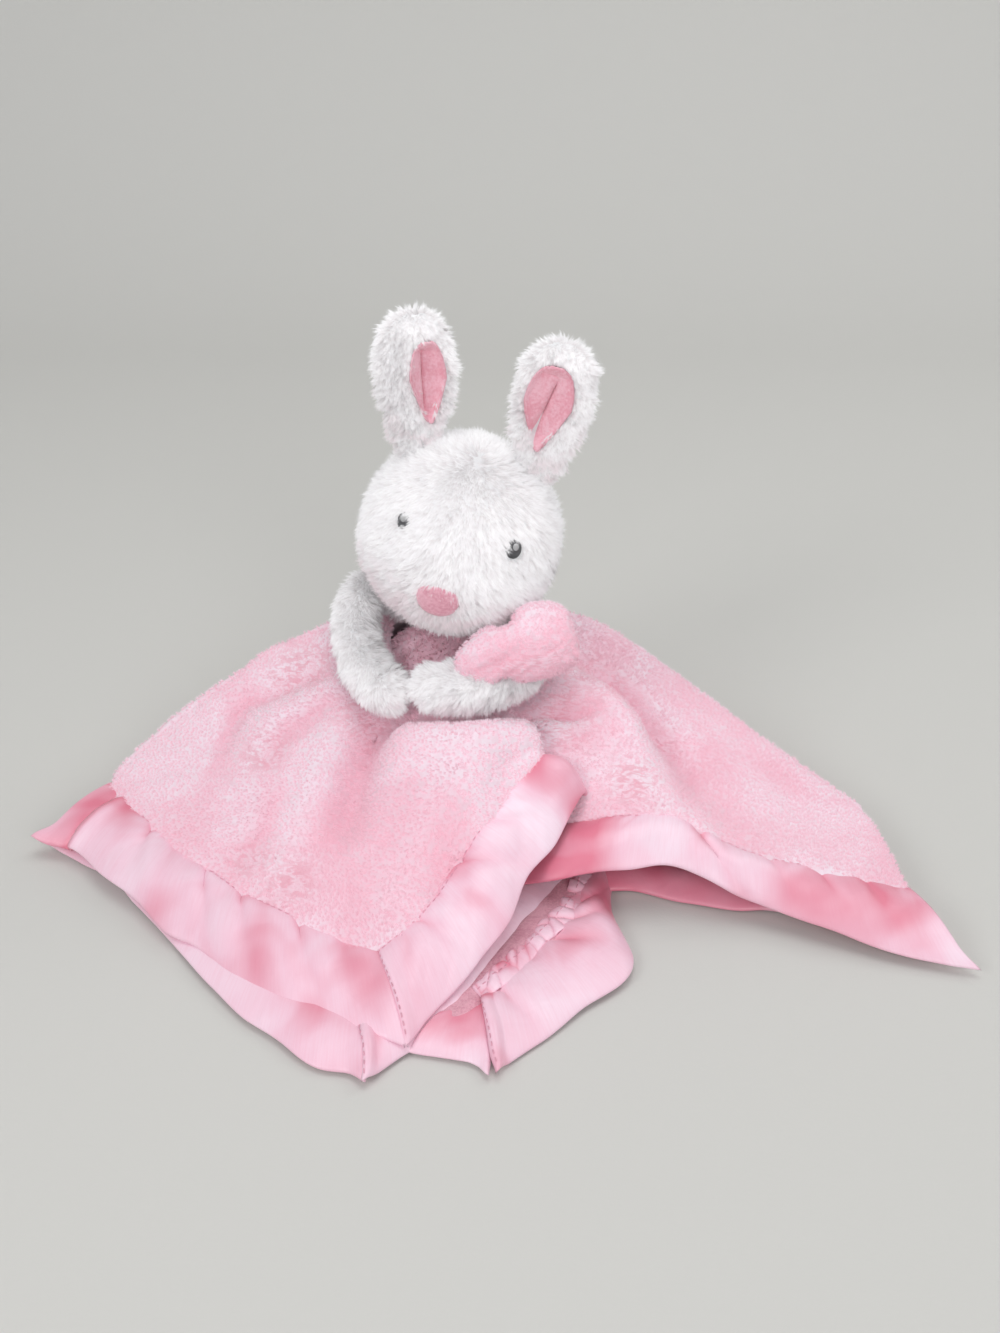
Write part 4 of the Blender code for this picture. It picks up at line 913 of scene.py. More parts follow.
def satinStrip(name, seam, edge, seed=3, tips=(), **changes):
    spec = {**satinCut, **changes}
    seam, edge = np.array(seam), np.array(edge)
    middle = (seam + edge) / 2 + [0, 0, spec["swell"]]
    lines = np.stack([seam, middle, edge], axis=1)
    length = np.linalg.norm(np.diff(middle, axis=0), axis=1).sum()
    rows = int(length / spec["step"])
    columns = (1 - np.cos(np.linspace(0, math.pi, spec["columns"]))) / 2
    grid = clothGrid(lines, rows, columns)
    normal = gridNormals(grid)
    normal = normal * np.sign(normal[..., 2].mean())
    way = wayOf(grid)
    u, v = way[..., 0], way[..., 1]
    width = v.max()
    zero = np.zeros_like(u)
    scallop = cloudNoise(np.stack([u, zero, zero], -1), spec["scallopSize"],
                         seed) * np.exp(-v / spec["scallopReach"])
    pucker = cloudNoise(np.stack([u + v * spec["slant"], v * 0.25, zero], -1),
                        spec["puckerSize"], seed + 1) * np.exp(-v / spec["puckerReach"])
    broad = cloudNoise(np.stack([u + v * spec["slant"] * 1.5, v * 0.3, zero], -1),
                       spec["foldSize"], seed + 2) * (0.3 + 0.7 * v / width)
    crumple = cloudNoise(np.stack([u + v, v * 0.5, zero], -1), spec["crumpleSize"], seed + 6)
    gather = cloudNoise(np.stack([u + v * 0.7, v * 0.2, zero], -1), spec["gatherSize"], seed + 8)
    gather = gather * np.exp(-v / spec["gatherReach"]) * np.clip(
        cloudNoise(np.stack([u, zero, zero], -1), spec["gatherGaps"], seed + 9) + 0.35, 0, 1)
    lift = (spec["scallop"] * scallop + spec["pucker"] * pucker + spec["fold"] * broad
            + spec["crumple"] * crumple + spec["gather"] * gather
            - spec["seamDip"] * np.exp(-(v / (2.5 * mm)) ** 2))
    for at, depth, slant in spec["darts"]:      # the seam's thread draws the satin in here
        off = u - at * u.max() - v * slant
        fan = np.exp(-(off / (1.5 * mm + 0.20 * v)) ** 2)
        lift = lift - depth * mm * fan * np.clip(1 - 0.8 * v / width, 0, 1)
    # painted light on the satin: painted shade in the hollows and along the seam, painted
    # highlights on the rises
    paintedSatinLight = spec["paintedLightBias"] - 0.38 * np.clip(lift / (1.6 * mm), -1, 1) + 0.25 * np.exp(
        -(v / (2 * mm)) ** 2) - 0.8 * gather
    # painted shade in the folds each dart draws in
    for at, depth, slant in spec["darts"]:
        off = u - at * u.max() - v * slant
        paintedSatinLight = paintedSatinLight + 0.28 * depth * np.exp(-(off / (2.2 * mm + 0.25 * v)) ** 2
                                              - (v / (9 * mm)) ** 2)
    for at, depth, slant in spec["tucks"]:      # a fold right across the strip
        off = u - at * u.max() - v * slant
        lift = lift + depth * mm * np.where(off > 0, np.exp(-(off / (5 * mm)) ** 2),
                                            -0.6 * np.exp(-(off / (2.5 * mm)) ** 2))
        # painted shade just before the fold and a painted highlight on it
        paintedSatinLight = paintedSatinLight + 0.9 * np.exp(-((off + 1.2 * mm) / (2 * mm)) ** 2) - 0.5 * np.exp(
            -((off - 2.5 * mm) / (3 * mm)) ** 2)
    if spec["puff"]:
        height, gap = puffs(u, v, spec["puffSize"], seed)
        lift = lift + spec["puff"] * height
        # painted shade in the creases between puffs, painted highlights on the puffs
        paintedSatinLight = paintedSatinLight + 0.65 * (1 - gap) - 0.3 * gap
    # listed patches of painted shade (strength above 0) and painted highlight (below 0)
    for at, over, wide, deep, strength in spec["paintedSatinLight"]:
        paintedSatinLight = paintedSatinLight + strength * np.exp(-((u / u.max() - at) / wide) ** 2
                                          - ((v / width - over) / deep) ** 2)
    ends = np.minimum(u, u.max() - u)
    calm = np.clip(ends / spec["calmEnd"], 0.15, 1)
    grid = grid + normal * (lift * calm)[..., None]
    over = grid[:, -1] - grid[:, 0]
    over = over / np.linalg.norm(over, axis=-1, keepdims=True)
    wave = cloudNoise(np.stack([u, zero, zero], -1), spec["edgeWaveSize"], seed + 4)
    wave = wave * (v / width) ** 3 * calm
    grid = grid + over[:, None] * (wave * spec["edgeWave"])[..., None]
    for side, past in enumerate(spec["overrun"]):   # a mitred end runs on over its neighbour
        run = u if side == 0 else u.max() - u
        onward = unit(grid[0] - grid[4] if side == 0 else grid[-1] - grid[-5])
        grid = grid + np.exp(-run / (2 * mm))[..., None] * onward[None] * past
    for side, rise in enumerate(spec["lip"]):       # a mitre whose edge stands up a little
        run = u if side == 0 else u.max() - u
        shape = np.exp(-((run - 1.5 * mm) / (2.2 * mm)) ** 2) * np.clip(v / (4 * mm), 0, 1)
        grid = grid + normal * (shape * rise)[..., None]
    for atEnd, out, up, reach in tips:      # a corner of the strip drawn out and curled
        corner = grid[0 if atEnd == 0 else -1, -1].copy()
        near = np.exp(-(np.linalg.norm(grid - corner, axis=-1) / reach) ** 2)
        grid = grid + near[..., None] * np.array([out[0], out[1], up])
    t = np.clip(v / width, 0, 1)
    half = spec["half"] * (1 - np.abs(2 * t - 1) ** spec["blunt"]) ** (1 / spec["blunt"])
    half = half * np.sqrt(np.clip(1 - (1 - np.minimum(ends / spec["roundEnd"], 1)) ** 2, 0, 1))
    thing = shellFromGrid(name, grid, half, pinkSatin, way)
    paintedSatinLight = np.clip(paintedSatinLight, -1, 1)
    addAttribute(thing, "paintedSatinLight", np.append(paintedSatinLight.ravel(), paintedSatinLight[1:-1, 1:-1].ravel()))
    column = int(np.searchsorted(v[0], spec["stitchIn"]))
    up = gridNormals(grid)
    top = grid + up * np.sign(up[..., 2].mean()) * half[..., None]
    stitchLines.append(top[3:-3, column])
    for side, rise in enumerate(spec["lip"]):
        if rise:
            stitchLines.append(top[1 if side == 0 else -2, column:-6])
    return thing, grid


def raised(shares, height):
    return np.array([(x * blanketReach, y * blanketReach, height) for x, y in shares])


frontFolds = [
    {"line": [(-0.30, 0.0), (-0.408, -0.042), (-0.492, -0.057), (-0.518, -0.201)],
     "depth": -7.0, "width": 8},
    {"line": [(-0.25, -0.065), (-0.357, -0.118), (-0.447, -0.173), (-0.477, -0.295)],
     "depth": 5.0, "width": 8},
    {"line": [(-0.50, 0.03), (-0.451, 0.073), (-0.40, 0.09)], "depth": 3.5, "width": 8},
    {"line": [(-0.161, -0.182), (-0.193, -0.238), (-0.221, -0.356), (-0.237, -0.462)],
     "depth": -9.0, "width": 7.5},
    {"line": [(-0.115, -0.24), (-0.125, -0.32), (-0.14, -0.40)], "depth": 3.0, "width": 6},
    {"line": [(-0.27, -0.22), (-0.31, -0.34), (-0.34, -0.44)], "depth": 3.0, "width": 7},
    {"line": [(-0.36, -0.30), (-0.40, -0.42), (-0.46, -0.50)], "depth": -3.5, "width": 8},
    {"line": [(-0.05, -0.42), (-0.02, -0.52), (-0.06, -0.62)], "depth": -3.0, "width": 8},
]
rightFolds = [
    {"line": [(0.09, -0.19), (0.187, -0.200), (0.245, -0.206), (0.31, -0.19)],
     "depth": -4.5, "width": 3.2},
    {"line": [(0.16, -0.235), (0.22, -0.245), (0.28, -0.24)], "depth": 2.0, "width": 4},
    {"line": [(0.18, -0.12), (0.255, -0.149), (0.324, -0.167), (0.369, -0.215), (0.387, -0.265),
              (0.404, -0.336)], "depth": 3.4, "width": 7},
    {"line": [(0.23, -0.02), (0.33, -0.10), (0.42, -0.20), (0.49, -0.33)],
     "depth": -4.5, "width": 8},
    {"line": [(0.62, -0.12), (0.70, -0.24), (0.74, -0.38)], "depth": -2.6, "width": 10},
]
# the satin alone goes on past these: behind the front lobe, and rolled under at its tip
rightSatinStart = [(0.12, -0.35, 0.27)], [(0.10, -0.51, 0.16)]
frontSatinEnd = ([(0.166, -0.322, 0.70), (0.150, -0.305, 0.62)],
                 [(0.262, -0.368, 0.50), (0.232, -0.345, 0.42)])


def makeBlanketTop():
    seam = leftSeam + frontSeam[1:]
    past = underSatin(seam, leftEdge + frontEdge[1:])
    rays = [ray + [end, beyond] for ray, end, beyond in zip(frontRays, seam, past)]
    turned = [(x + 0.004, y + 0.014, z - 0.10) for x, y, z in rays[-1]]
    tucked = [(x - 0.05, y + 0.045, z - 0.17) for x, y, z in rays[-1]]
    front, grid = fleecePanel("frontFleece", toReach(rays + [turned, tucked]), fleeceCut,
                              frontFolds, 11, hidden=1 / 6)
    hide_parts("blanket_front_panel")
    coverBlanket("frontPile", front, grid, 1, frontCrinkles, frontBrushedAndLit, share=0.79)
    rays = [ray + [end, beyond] for ray, end, beyond
            in zip(rightRays, rightSeam, underSatin(rightSeam, rightEdge))]
    # the cloth goes on behind the front lobe, where it rises out of the arms
    start = [[(x - shift, y + lift, z - 0.06 * k) for x, y, z in rays[0]]
             for k, shift, lift in ((2, 0.13, 0.02), (1, 0.06, 0.012))]
    right, grid = fleecePanel("rightFleece", toReach(start + rays), fleeceCut, rightFolds, 23,
                              hidden=1 / 6)
    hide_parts("blanket_right_panel")
    coverBlanket("rightPile", right, grid, 2, rightCrinkles, rightBrushedAndLit)
    foot = fleeceCut["half"] / neckHeight
    lines = []
    for (x, y, z), (middle, low) in zip(backRidge, backSpread):
        lines.append([(x, y - 0.03, z - 0.03), (x, y - 0.005, z + 0.005),
                      (x, y + middle, foot + (z - foot) / 2), (x, y + low, foot)])
    back, grid = fleecePanel("backFleece", toReach(lines), fleeceCut, (), 31, 200, 70)
    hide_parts("blanket_back_panel")
    coverBlanket("backPile", back, grid, 3, share=0.6, flow=(0, 0.5, -0.4), rim=6 * mm)
    return front, right, back


def makeBindings():
    made = {}
    nearSeam, ruffleOut = np.array(cornerSeam[1:]), np.array(cornerEdge[1:])
    inward = np.array(cornerCrease[1:]) - nearSeam
    outward = ruffleOut - nearSeam
    inward = nearSeam + unit(inward) * 0.030
    outward = nearSeam + unit(outward) * 0.022
    # each strip's painted light and shade are set here too, as patches and as a shift over the
    # whole strip
    spots = {
        "leftSatin": (toReach(leftSeam), toReach(leftEdge), 41,
                      [(0, (-3.5 * mm, -1 * mm), 3 * mm, 5 * mm),
                       (1, (0.5 * mm, -2.5 * mm), -1 * mm, 6 * mm)],
                      {"overrun": (0, 0.8 * mm), "tucks": ((0.075, 1.6, 0.05),),
                       "darts": ((0.23, 1.5, 0.3), (0.34, 0.5, 0.2), (0.47, 1.6, 0.35),
                                 (0.60, 1.2, 0.3), (0.78, 1.5, 0.2), (0.90, 0.5, 0.0)),
                       "paintedSatinLight": ((0.10, 0.05, 0.10, 0.45, 0.95), (0.05, 0.7, 0.05, 0.6, 0.8),
                                 (0.36, 0.6, 0.04, 0.9, 0.35), (0.68, 0.5, 0.035, 0.9, 0.4),
                                 (0.93, 0.35, 0.07, 0.5, 0.4), (0.28, 0.6, 0.08, 0.6, -0.35),
                                 (0.53, 0.6, 0.08, 0.6, -0.4), (0.84, 0.5, 0.06, 0.6, -0.35))}),
        "frontSatin": (toReach(frontSeam + frontSatinEnd[0]),
                       toReach(frontEdge + frontSatinEnd[1]), 42,
                       [(0, (0.5 * mm, -2.5 * mm), -1 * mm, 6 * mm)],
                       {"slant": 0.9, "overrun": (1.0 * mm, 0), "lip": (0.6 * mm, 0.0),
                        "crumple": 0.14 * mm, "paintedLightBias": -0.25,
                        "darts": ((0.17, 1.4, 0.7), (0.29, 0.7, 0.6), (0.44, 1.5, 0.8),
                                  (0.50, 0.8, 0.5), (0.60, 1.2, 0.9), (0.70, 0.8, 0.5)),
                        "paintedSatinLight": ((0.85, 0.5, 0.085, 3.0, 1.05), (0.99, 0.6, 0.05, 0.9, 1.3),
                                  (0.73, 0.5, 0.05, 1.0, -1.0), (0.62, 0.5, 0.12, 0.6, -0.8),
                                  (0.40, 0.5, 0.05, 0.6, 0.3), (0.28, 0.5, 0.08, 0.6, -0.5),
                                  (0.10, 0.4, 0.05, 0.5, 0.35))}),
        "rightSatin": (toReach(rightSatinStart[0] + rightSeam),
                       toReach(rightSatinStart[1] + rightEdge), 43,
                       [(1, (2.5 * mm, -1 * mm), 0, 5 * mm)],
                       {"fold": 1.6 * mm,
                        "darts": ((0.24, 0.5, 0.1), (0.34, 0.4, 0.1), (0.43, 2.6, 0.7),
                                  (0.50, 0.6, 0.3), (0.62, 0.7, 0.4), (0.74, 1.1, 0.4),
                                  (0.86, 0.8, 0.2)),
                        "paintedSatinLight": ((0.11, 0.5, 0.125, 2.0, 1.9), (0.44, 0.5, 0.03, 0.6, 0.6),
                                  (0.90, 0.3, 0.09, 0.5, 0.75), (0.98, 0.9, 0.03, 0.3, -0.8),
                                  (0.36, 0.5, 0.09, 0.8, -0.9), (0.56, 0.4, 0.06, 0.5, -0.4),
                                  (0.72, 0.6, 0.07, 0.5, 0.6))}),
        "underLeftSatin": (raised(underLeftSeam, 3 * mm), raised(underLeftEdge, 2 * mm), 44,
                           [(1, (0, -2 * mm), 1 * mm, 5 * mm)],
                           {"fold": 0.9 * mm, "overrun": (0, 1.0 * mm), "paintedLightBias": -0.1,
                            "paintedSatinLight": ((0.86, 0.3, 0.10, 0.4, 0.8), (0.55, 0.2, 0.15, 0.3, 0.5),
                                      (0.62, 0.8, 0.15, 0.3, -0.4))}),
        "underFrontSatin": (raised(underFrontSeam, 3 * mm), raised(underFrontEdge, 2 * mm), 45,
                            [(0, (0, -2 * mm), 1 * mm, 5 * mm)],
                            {"fold": 0.9 * mm, "overrun": (0.8 * mm, 0), "lip": (1.3 * mm, 0),
                             "paintedLightBias": -0.6,
                             "paintedSatinLight": ((0.05, 0.5, 0.05, 0.4, 1.1), (0.25, 0.4, 0.10, 0.5, 0.4),
                                       (0.60, 0.5, 0.15, 0.5, 0.4))}),
        "underRightSatin": (raised(underRightSeam, 3 * mm), raised(underRightEdge, 2 * mm), 46,
                            [], {"fold": 0.8 * mm, "paintedLightBias": 0.6,
                                 "paintedSatinLight": ((0.10, 0.5, 0.15, 1.0, 0.6),)}),
        "cornerLeftSatin": (np.concatenate([raised([(-0.03, -0.845)], 4.4 * mm),
                                            raised(cornerSeam[1:2], 3.5 * mm)]),
                            raised(cornerEdge[:2], 1.6 * mm), 47,
                            [(1, (-1.5 * mm, -2.5 * mm), 1 * mm, 4 * mm)],
                            {"fold": 0.6 * mm, "overrun": (0, 0.6 * mm), "swell": 0.9 * mm,
                             "half": 1.5 * mm,
                             "paintedSatinLight": ((0.5, 0.15, 0.9, 0.5, 1.0), (0.5, 0.95, 0.9, 0.25, -0.5))}),
        "cornerRightSatin": (raised(cornerSeam[1:], 3.8 * mm), raised(cornerEdge[1:], 2 * mm),
                             48, [(0, (1.5 * mm, -2 * mm), 1 * mm, 4 * mm)],
                             {"fold": 1.3 * mm, "scallop": 0.8 * mm, "pucker": 0.9 * mm,
                              "puckerSize": 7 * mm, "overrun": (0.8 * mm, 0),
                              "lip": (1.4 * mm, 0),
                              "darts": ((0.08, 1.6, 0.5), (0.44, 1.0, 0.9), (0.58, 1.4, 1.0),
                                        (0.70, 1.2, 0.9)),
                              "paintedSatinLight": ((0.03, 0.05, 0.05, 0.12, 1.3),
                                        (0.82, 0.5, 0.14, 0.6, 0.8),
                                        (0.48, 0.35, 0.12, 0.25, 0.45),
                                        (0.20, 0.5, 0.14, 0.5, -0.7),
                                        (0.40, 0.8, 0.12, 0.3, -0.4))}),
        "cornerRuffleSatin": (raised(inward, 4.4 * mm), raised(outward, 4.6 * mm), 49, [],
                              {"half": 0.8 * mm, "step": 0.45 * mm, "columns": 30,
                               "swell": 0.2 * mm, "scallop": 0.5 * mm, "scallopSize": 7 * mm,
                               "pucker": 0.4 * mm, "puckerSize": 5 * mm, "fold": 0,
                               "seamDip": 0, "slant": 0.7, "edgeWave": 2.4 * mm,
                               "crumple": 0.12 * mm, "stitchIn": 3 * mm, "puff": 1.4 * mm,
                               "puffSize": 4.6 * mm}),
    }
    for name, (seam, edge, seed, tips, changes) in spots.items():
        made[name] = satinStrip(name, seam, edge, seed, tips, **changes)
    return made


stitchLook = {"length": 2.1 * mm, "radius": 0.20 * mm, "spacing": 2.9 * mm, "sides": 6}


def makeStitch():
    # one stitch along Z: its ends dip into the cloth, which lies towards -X
    rings = []
    for share, wide, dip in ((-0.5, 0.25, -1.2), (-0.34, 1.0, 0.1), (0.0, 1.0, 0.5),
                             (0.34, 1.0, 0.1), (0.5, 0.25, -1.2)):
        turn = np.linspace(0, 2 * math.pi, stitchLook["sides"], endpoint=False)
        radius = stitchLook["radius"]
        rings.append(np.stack([(np.cos(turn) * wide + dip) * radius, np.sin(turn) * wide * radius,
                               np.full_like(turn, share * stitchLook["length"])], -1))
    stitch = closedLoft("stitch", rings, seamThread)
    stitch.hide_render = True
    return stitch


def makeStitchTree():
    tree, given = newTree("stitchRun", "Path", (
        ("Stitch", "Object"), ("Spacing", "Float"), ("Turn Scatter", "Float"),
        ("Material", "Material"), ("Seed", "Int")))
    run = addNode(tree, "GeometryNodeMeshToCurve", {"Mesh": given["Path"]})
    spots = addNode(tree, "GeometryNodeCurveToPoints",
                    {"Curve": run.outputs[0], "Length": given["Spacing"]}, mode="LENGTH")
    along = addNode(tree, "FunctionNodeAlignRotationToVector",
                    {"Vector": spots.outputs["Tangent"]}, axis="Z")
    upright = addNode(tree, "FunctionNodeAlignRotationToVector",
                      {"Rotation": along.outputs[0], "Vector": (0, 0, 1)},
                      axis="X", pivot_axis="Z")
    amount = addNode(tree, "FunctionNodeRandomValue", {2: -1.0, 3: 1.0, "Seed": given["Seed"]})
    lean = mathNode(tree, "MULTIPLY", amount.outputs[1], given["Turn Scatter"])
    rotation = turnedBy(tree, upright.outputs[0], 0, lean)
    real = standOn(tree, spots.outputs["Points"], given["Stitch"], {"Rotation": rotation})
    return endTree(tree, real, given["Material"])


def sewSeams():
    # every seam's path in one mesh of edges, so that the stitches are one piece
    verts, edges = [], []
    for line in stitchLines:
        first = len(verts)
        verts += [tuple(spot) for spot in line]
        edges += [(first + k, first + k + 1) for k in range(len(line) - 1)]
    mesh = bpy.data.meshes.new("seamPaths")
    mesh.from_pydata(verts, edges, [])
    paths = bpy.data.objects.new("seamPaths", mesh)
    bpy.context.scene.collection.objects.link(paths)
    stitches = grownFrom(paths, stitchTree, "seamStitches", {
        "Stitch": stitch, "Spacing": stitchLook["spacing"], "Turn Scatter": 0.10,
        "Material": seamThread, "Seed": 7})
    bpy.data.objects.remove(paths)
    stitches.data.shade_smooth()
    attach(stitches, "blanket")


def makeFloorLayer():
    level = fleeceCut["half"]
    lines = [raised(row, level) for row in (underBack, underMiddle, underFront)]
    lines = np.swapaxes(np.array(lines), 0, 1)
    reverse = {**fleeceCut, "lump": 0.3 * mm, "lumpSize": 5 * mm, "roll": 0, "ease": 2}
    under, grid = fleecePanel("underFleece", lines, reverse, (), 51, 120, 60,
                              material=fleeceReverse)
    past = np.array(cornerSeam) + unit(np.array(cornerEdge) - np.array(cornerSeam)) * 0.03
    lines = np.stack([raised(cornerCrease, 3 * mm), raised(cornerSeam, 3.6 * mm),
                      raised(past, 2.6 * mm)], 1)
    flap, grid = fleecePanel("cornerFleece", lines, reverse, (), 53, 140, 34,
                             material=fleeceReverse)
    return under, flap


def valuesOf(thing, name):
    values = np.empty(len(thing.data.vertices), np.float32)
    thing.data.attributes[name].data.foreach_get("value", values)
    return values


def combBlanket(thing, grid, seed, rim, flow, crinkles, brushedAndLit):
    # brushed this way and that in broad zones, with the tufts thinning out at the border
    points = pointsOf(thing)

    def awayFrom(x, y):     # a place over the floor, in shares of the reach
        return np.hypot(points[:, 0] / blanketReach - x, points[:, 1] / blanketReach - y)

    lay = np.stack([cloudNoise(points, blanketPile["zone"], seed + k) for k in range(3)], -1)
    lay = lay * blanketPile["zoneShare"] + np.asarray(flow, float)
    density = np.zeros(len(points))
    density[:grid.shape[0] * grid.shape[1]] = np.clip(borderDistance(grid) / rim, 0, 1).ravel()
    density = density * valuesOf(thing, "shown")
    crinkled = np.zeros(len(points))
    for x, y, size in crinkles:
        crinkled = np.maximum(crinkled, np.clip(1.4 - awayFrom(x, y) / size, 0, 1))
    # painted light: the panel's own, with pale patches added where the pile is brushed up and its
    # sheen is painted in
    crest = valuesOf(thing, "crest")
    for x, y, size in brushedAndLit:
        crest = crest + np.exp(-(awayFrom(x, y) / size) ** 2)
    thing.data.attributes["crest"].data.foreach_set("value", crest.astype(np.float32))
    addAttribute(thing, "comb", combAlong(normalsOf(thing), lay), "FLOAT_VECTOR")
    addAttribute(thing, "crinkle", crinkled)
    addAttribute(thing, "furDensity", density)
    addAttribute(thing, "furLength", 1 - blanketPile["crinkleCut"] * crinkled)


# a pile lies away from where the light comes from, so that its hairs show their lit faces
pileFalls = np.array([0, 0.45, -0.9])

blanketPile = {"zone": 22 * mm, "zoneShare": 0.35, "bareRim": 0.6 * mm, "seed": 91,
               "tufts": 90e4, "growSeed": 101, "crinkleCut": 0.5}
fleeceHairs = {"Length": 1.8 * mm, "Comb": 1.5, "Scatter": 0.22, "Clump": 0.4,
               "Clump Size": 3.2 * mm, "Shade Scatter": 0.10}
# places over the floor in shares of the reach, and the size of each
frontCrinkles = [(-0.20, -0.17, 0.08), (-0.36, -0.02, 0.09), (-0.42, -0.23, 0.06),
                 (-0.42, -0.49, 0.05), (-0.33, -0.56, 0.06)]
rightCrinkles = [(0.30, -0.11, 0.09), (0.20, -0.22, 0.08), (0.42, -0.20, 0.05),
                 (0.36, -0.36, 0.06)]
# pale patches where the pile is brushed up: its sheen painted in as painted light
frontBrushedAndLit = [(-0.057, -0.363, 0.05), (0.034, -0.385, 0.06), (0.11, -0.37, 0.04),
                (-0.60, -0.15, 0.12), (-0.62, -0.25, 0.08), (-0.37, 0.0, 0.09)]
rightBrushedAndLit = [(0.38, -0.28, 0.05), (0.78, -0.30, 0.10), (0.68, -0.28, 0.08),
                (0.60, -0.06, 0.08), (0.20, 0.06, 0.10)]


def coverBlanket(name, thing, grid, seed, crinkles=(), brushedAndLit=(), share=1.0,
                 flow=tuple(pileFalls), rim=blanketPile["bareRim"]):
    combBlanket(thing, grid, blanketPile["seed"] + seed, rim, flow, crinkles, brushedAndLit)
    growPile(name, thing, "blanket", "pink_fleece", fleeceTuft, fleecePile,
             **{**fleeceHairs, "Tufts per m2": blanketPile["tufts"] * share,
                "Length Spread": 0.25, "Seed": blanketPile["growSeed"] + seed})


frontFleece, rightFleece, backFleece = makeBlanketTop()
bindings = makeBindings()
stitch = makeStitch()
stitchTree = makeStitchTree()
sewSeams()
underFleece, cornerFleece = makeFloorLayer()
for thing in (frontFleece, rightFleece, backFleece, underFleece, cornerFleece):
    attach(thing, "blanket")
for thing, grid in bindings.values():
    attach(thing, "blanket")
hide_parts("blanket_under_panel")
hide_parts("blanket_corner_flap")
for name, node in (("leftSatin", "binding_left"), ("frontSatin", "binding_front"),
                   ("rightSatin", "binding_right"), ("underLeftSatin", "binding_under_left"),
                   ("underFrontSatin", "binding_under_front"),
                   ("underRightSatin", "binding_under_right"),
                   ("cornerLeftSatin", "binding_corner"),
                   ("cornerRightSatin", "binding_corner"),
                   ("cornerRuffleSatin", "binding_corner")):
    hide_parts(node)
print("blanket made")


# ---- head

headLook = {     # angles are degrees to the viewer's right and up
    "radius": 36.3 * mm, "clearance": 8.2 * mm, "cadRadius": 37.5 * mm, "roll": 13.0,
    "yaw": -6.0, "muzzle": 4.0 * mm, "muzzleDrop": 14.0, "muzzleSpread": 30.0,
    "cheek": 1.3 * mm, "cheekSide": 52.0, "cheekRise": -12.0, "cheekSize": 26.0,
    "dimple": 2.2 * mm, "dimpleSize": 12.0, "lump": 0.35 * mm, "lumpSize": 7 * mm,
    "eyeSide": 38.5, "eyeRise": 19.5, "noseTurn": -2.5, "furLength": 5.4 * mm,
    "eyeFurCut": 0.55, "eyeFurSize": 9.0, "noseFurCut": 0.45, "noseFurSize": 16.0,
    # no fur grows this close round each eye; it comes up over the left one's lower half
    "bare": {-1: (1.0, 1.9, 2.2), 1: (0, 0, 5.2)}, "nosePatch": (11.0, 8.6),
    "tufts": {"headPileFront": 105e4, "headPileBack": 75e4},
}
headCentre = Vector((0, 0, neckHeight + headLook["clearance"] + headLook["cadRadius"]))
headFrame = (Matrix.Translation(headCentre)
             @ Matrix.Rotation(math.radians(headLook["yaw"]), 4, "Z")
             @ Matrix.Rotation(math.radians(headLook["roll"]), 4, "Y"))
headTurn = np.array(headFrame.to_3x3())


def headWay(side, rise):
    side, rise = np.radians(side), np.radians(rise)
    return np.stack([np.sin(side) * np.cos(rise), -np.cos(side) * np.cos(rise),
                     np.sin(rise) * np.ones_like(side)], -1)


noseWay = headWay(np.array(headLook["noseTurn"]), np.array(-headLook["muzzleDrop"]))


def angleTo(ways, way):
    return np.degrees(np.arccos(np.clip(ways @ np.asarray(way), -1, 1)))


def headReach(ways, radius):
    reach = radius + headLook["muzzle"] * np.exp(
        -(angleTo(ways, headWay(0.0, -headLook["muzzleDrop"])) / headLook["muzzleSpread"]) ** 2)
    for side in (-1, 1):
        cheek = angleTo(ways, headWay(side * headLook["cheekSide"], headLook["cheekRise"]))
        reach = reach + headLook["cheek"] * np.exp(-(cheek / headLook["cheekSize"]) ** 2)
        eye = angleTo(ways, headWay(side * headLook["eyeSide"], headLook["eyeRise"]))
        reach = reach - headLook["dimple"] * np.exp(-(eye / headLook["dimpleSize"]) ** 2)
    return reach


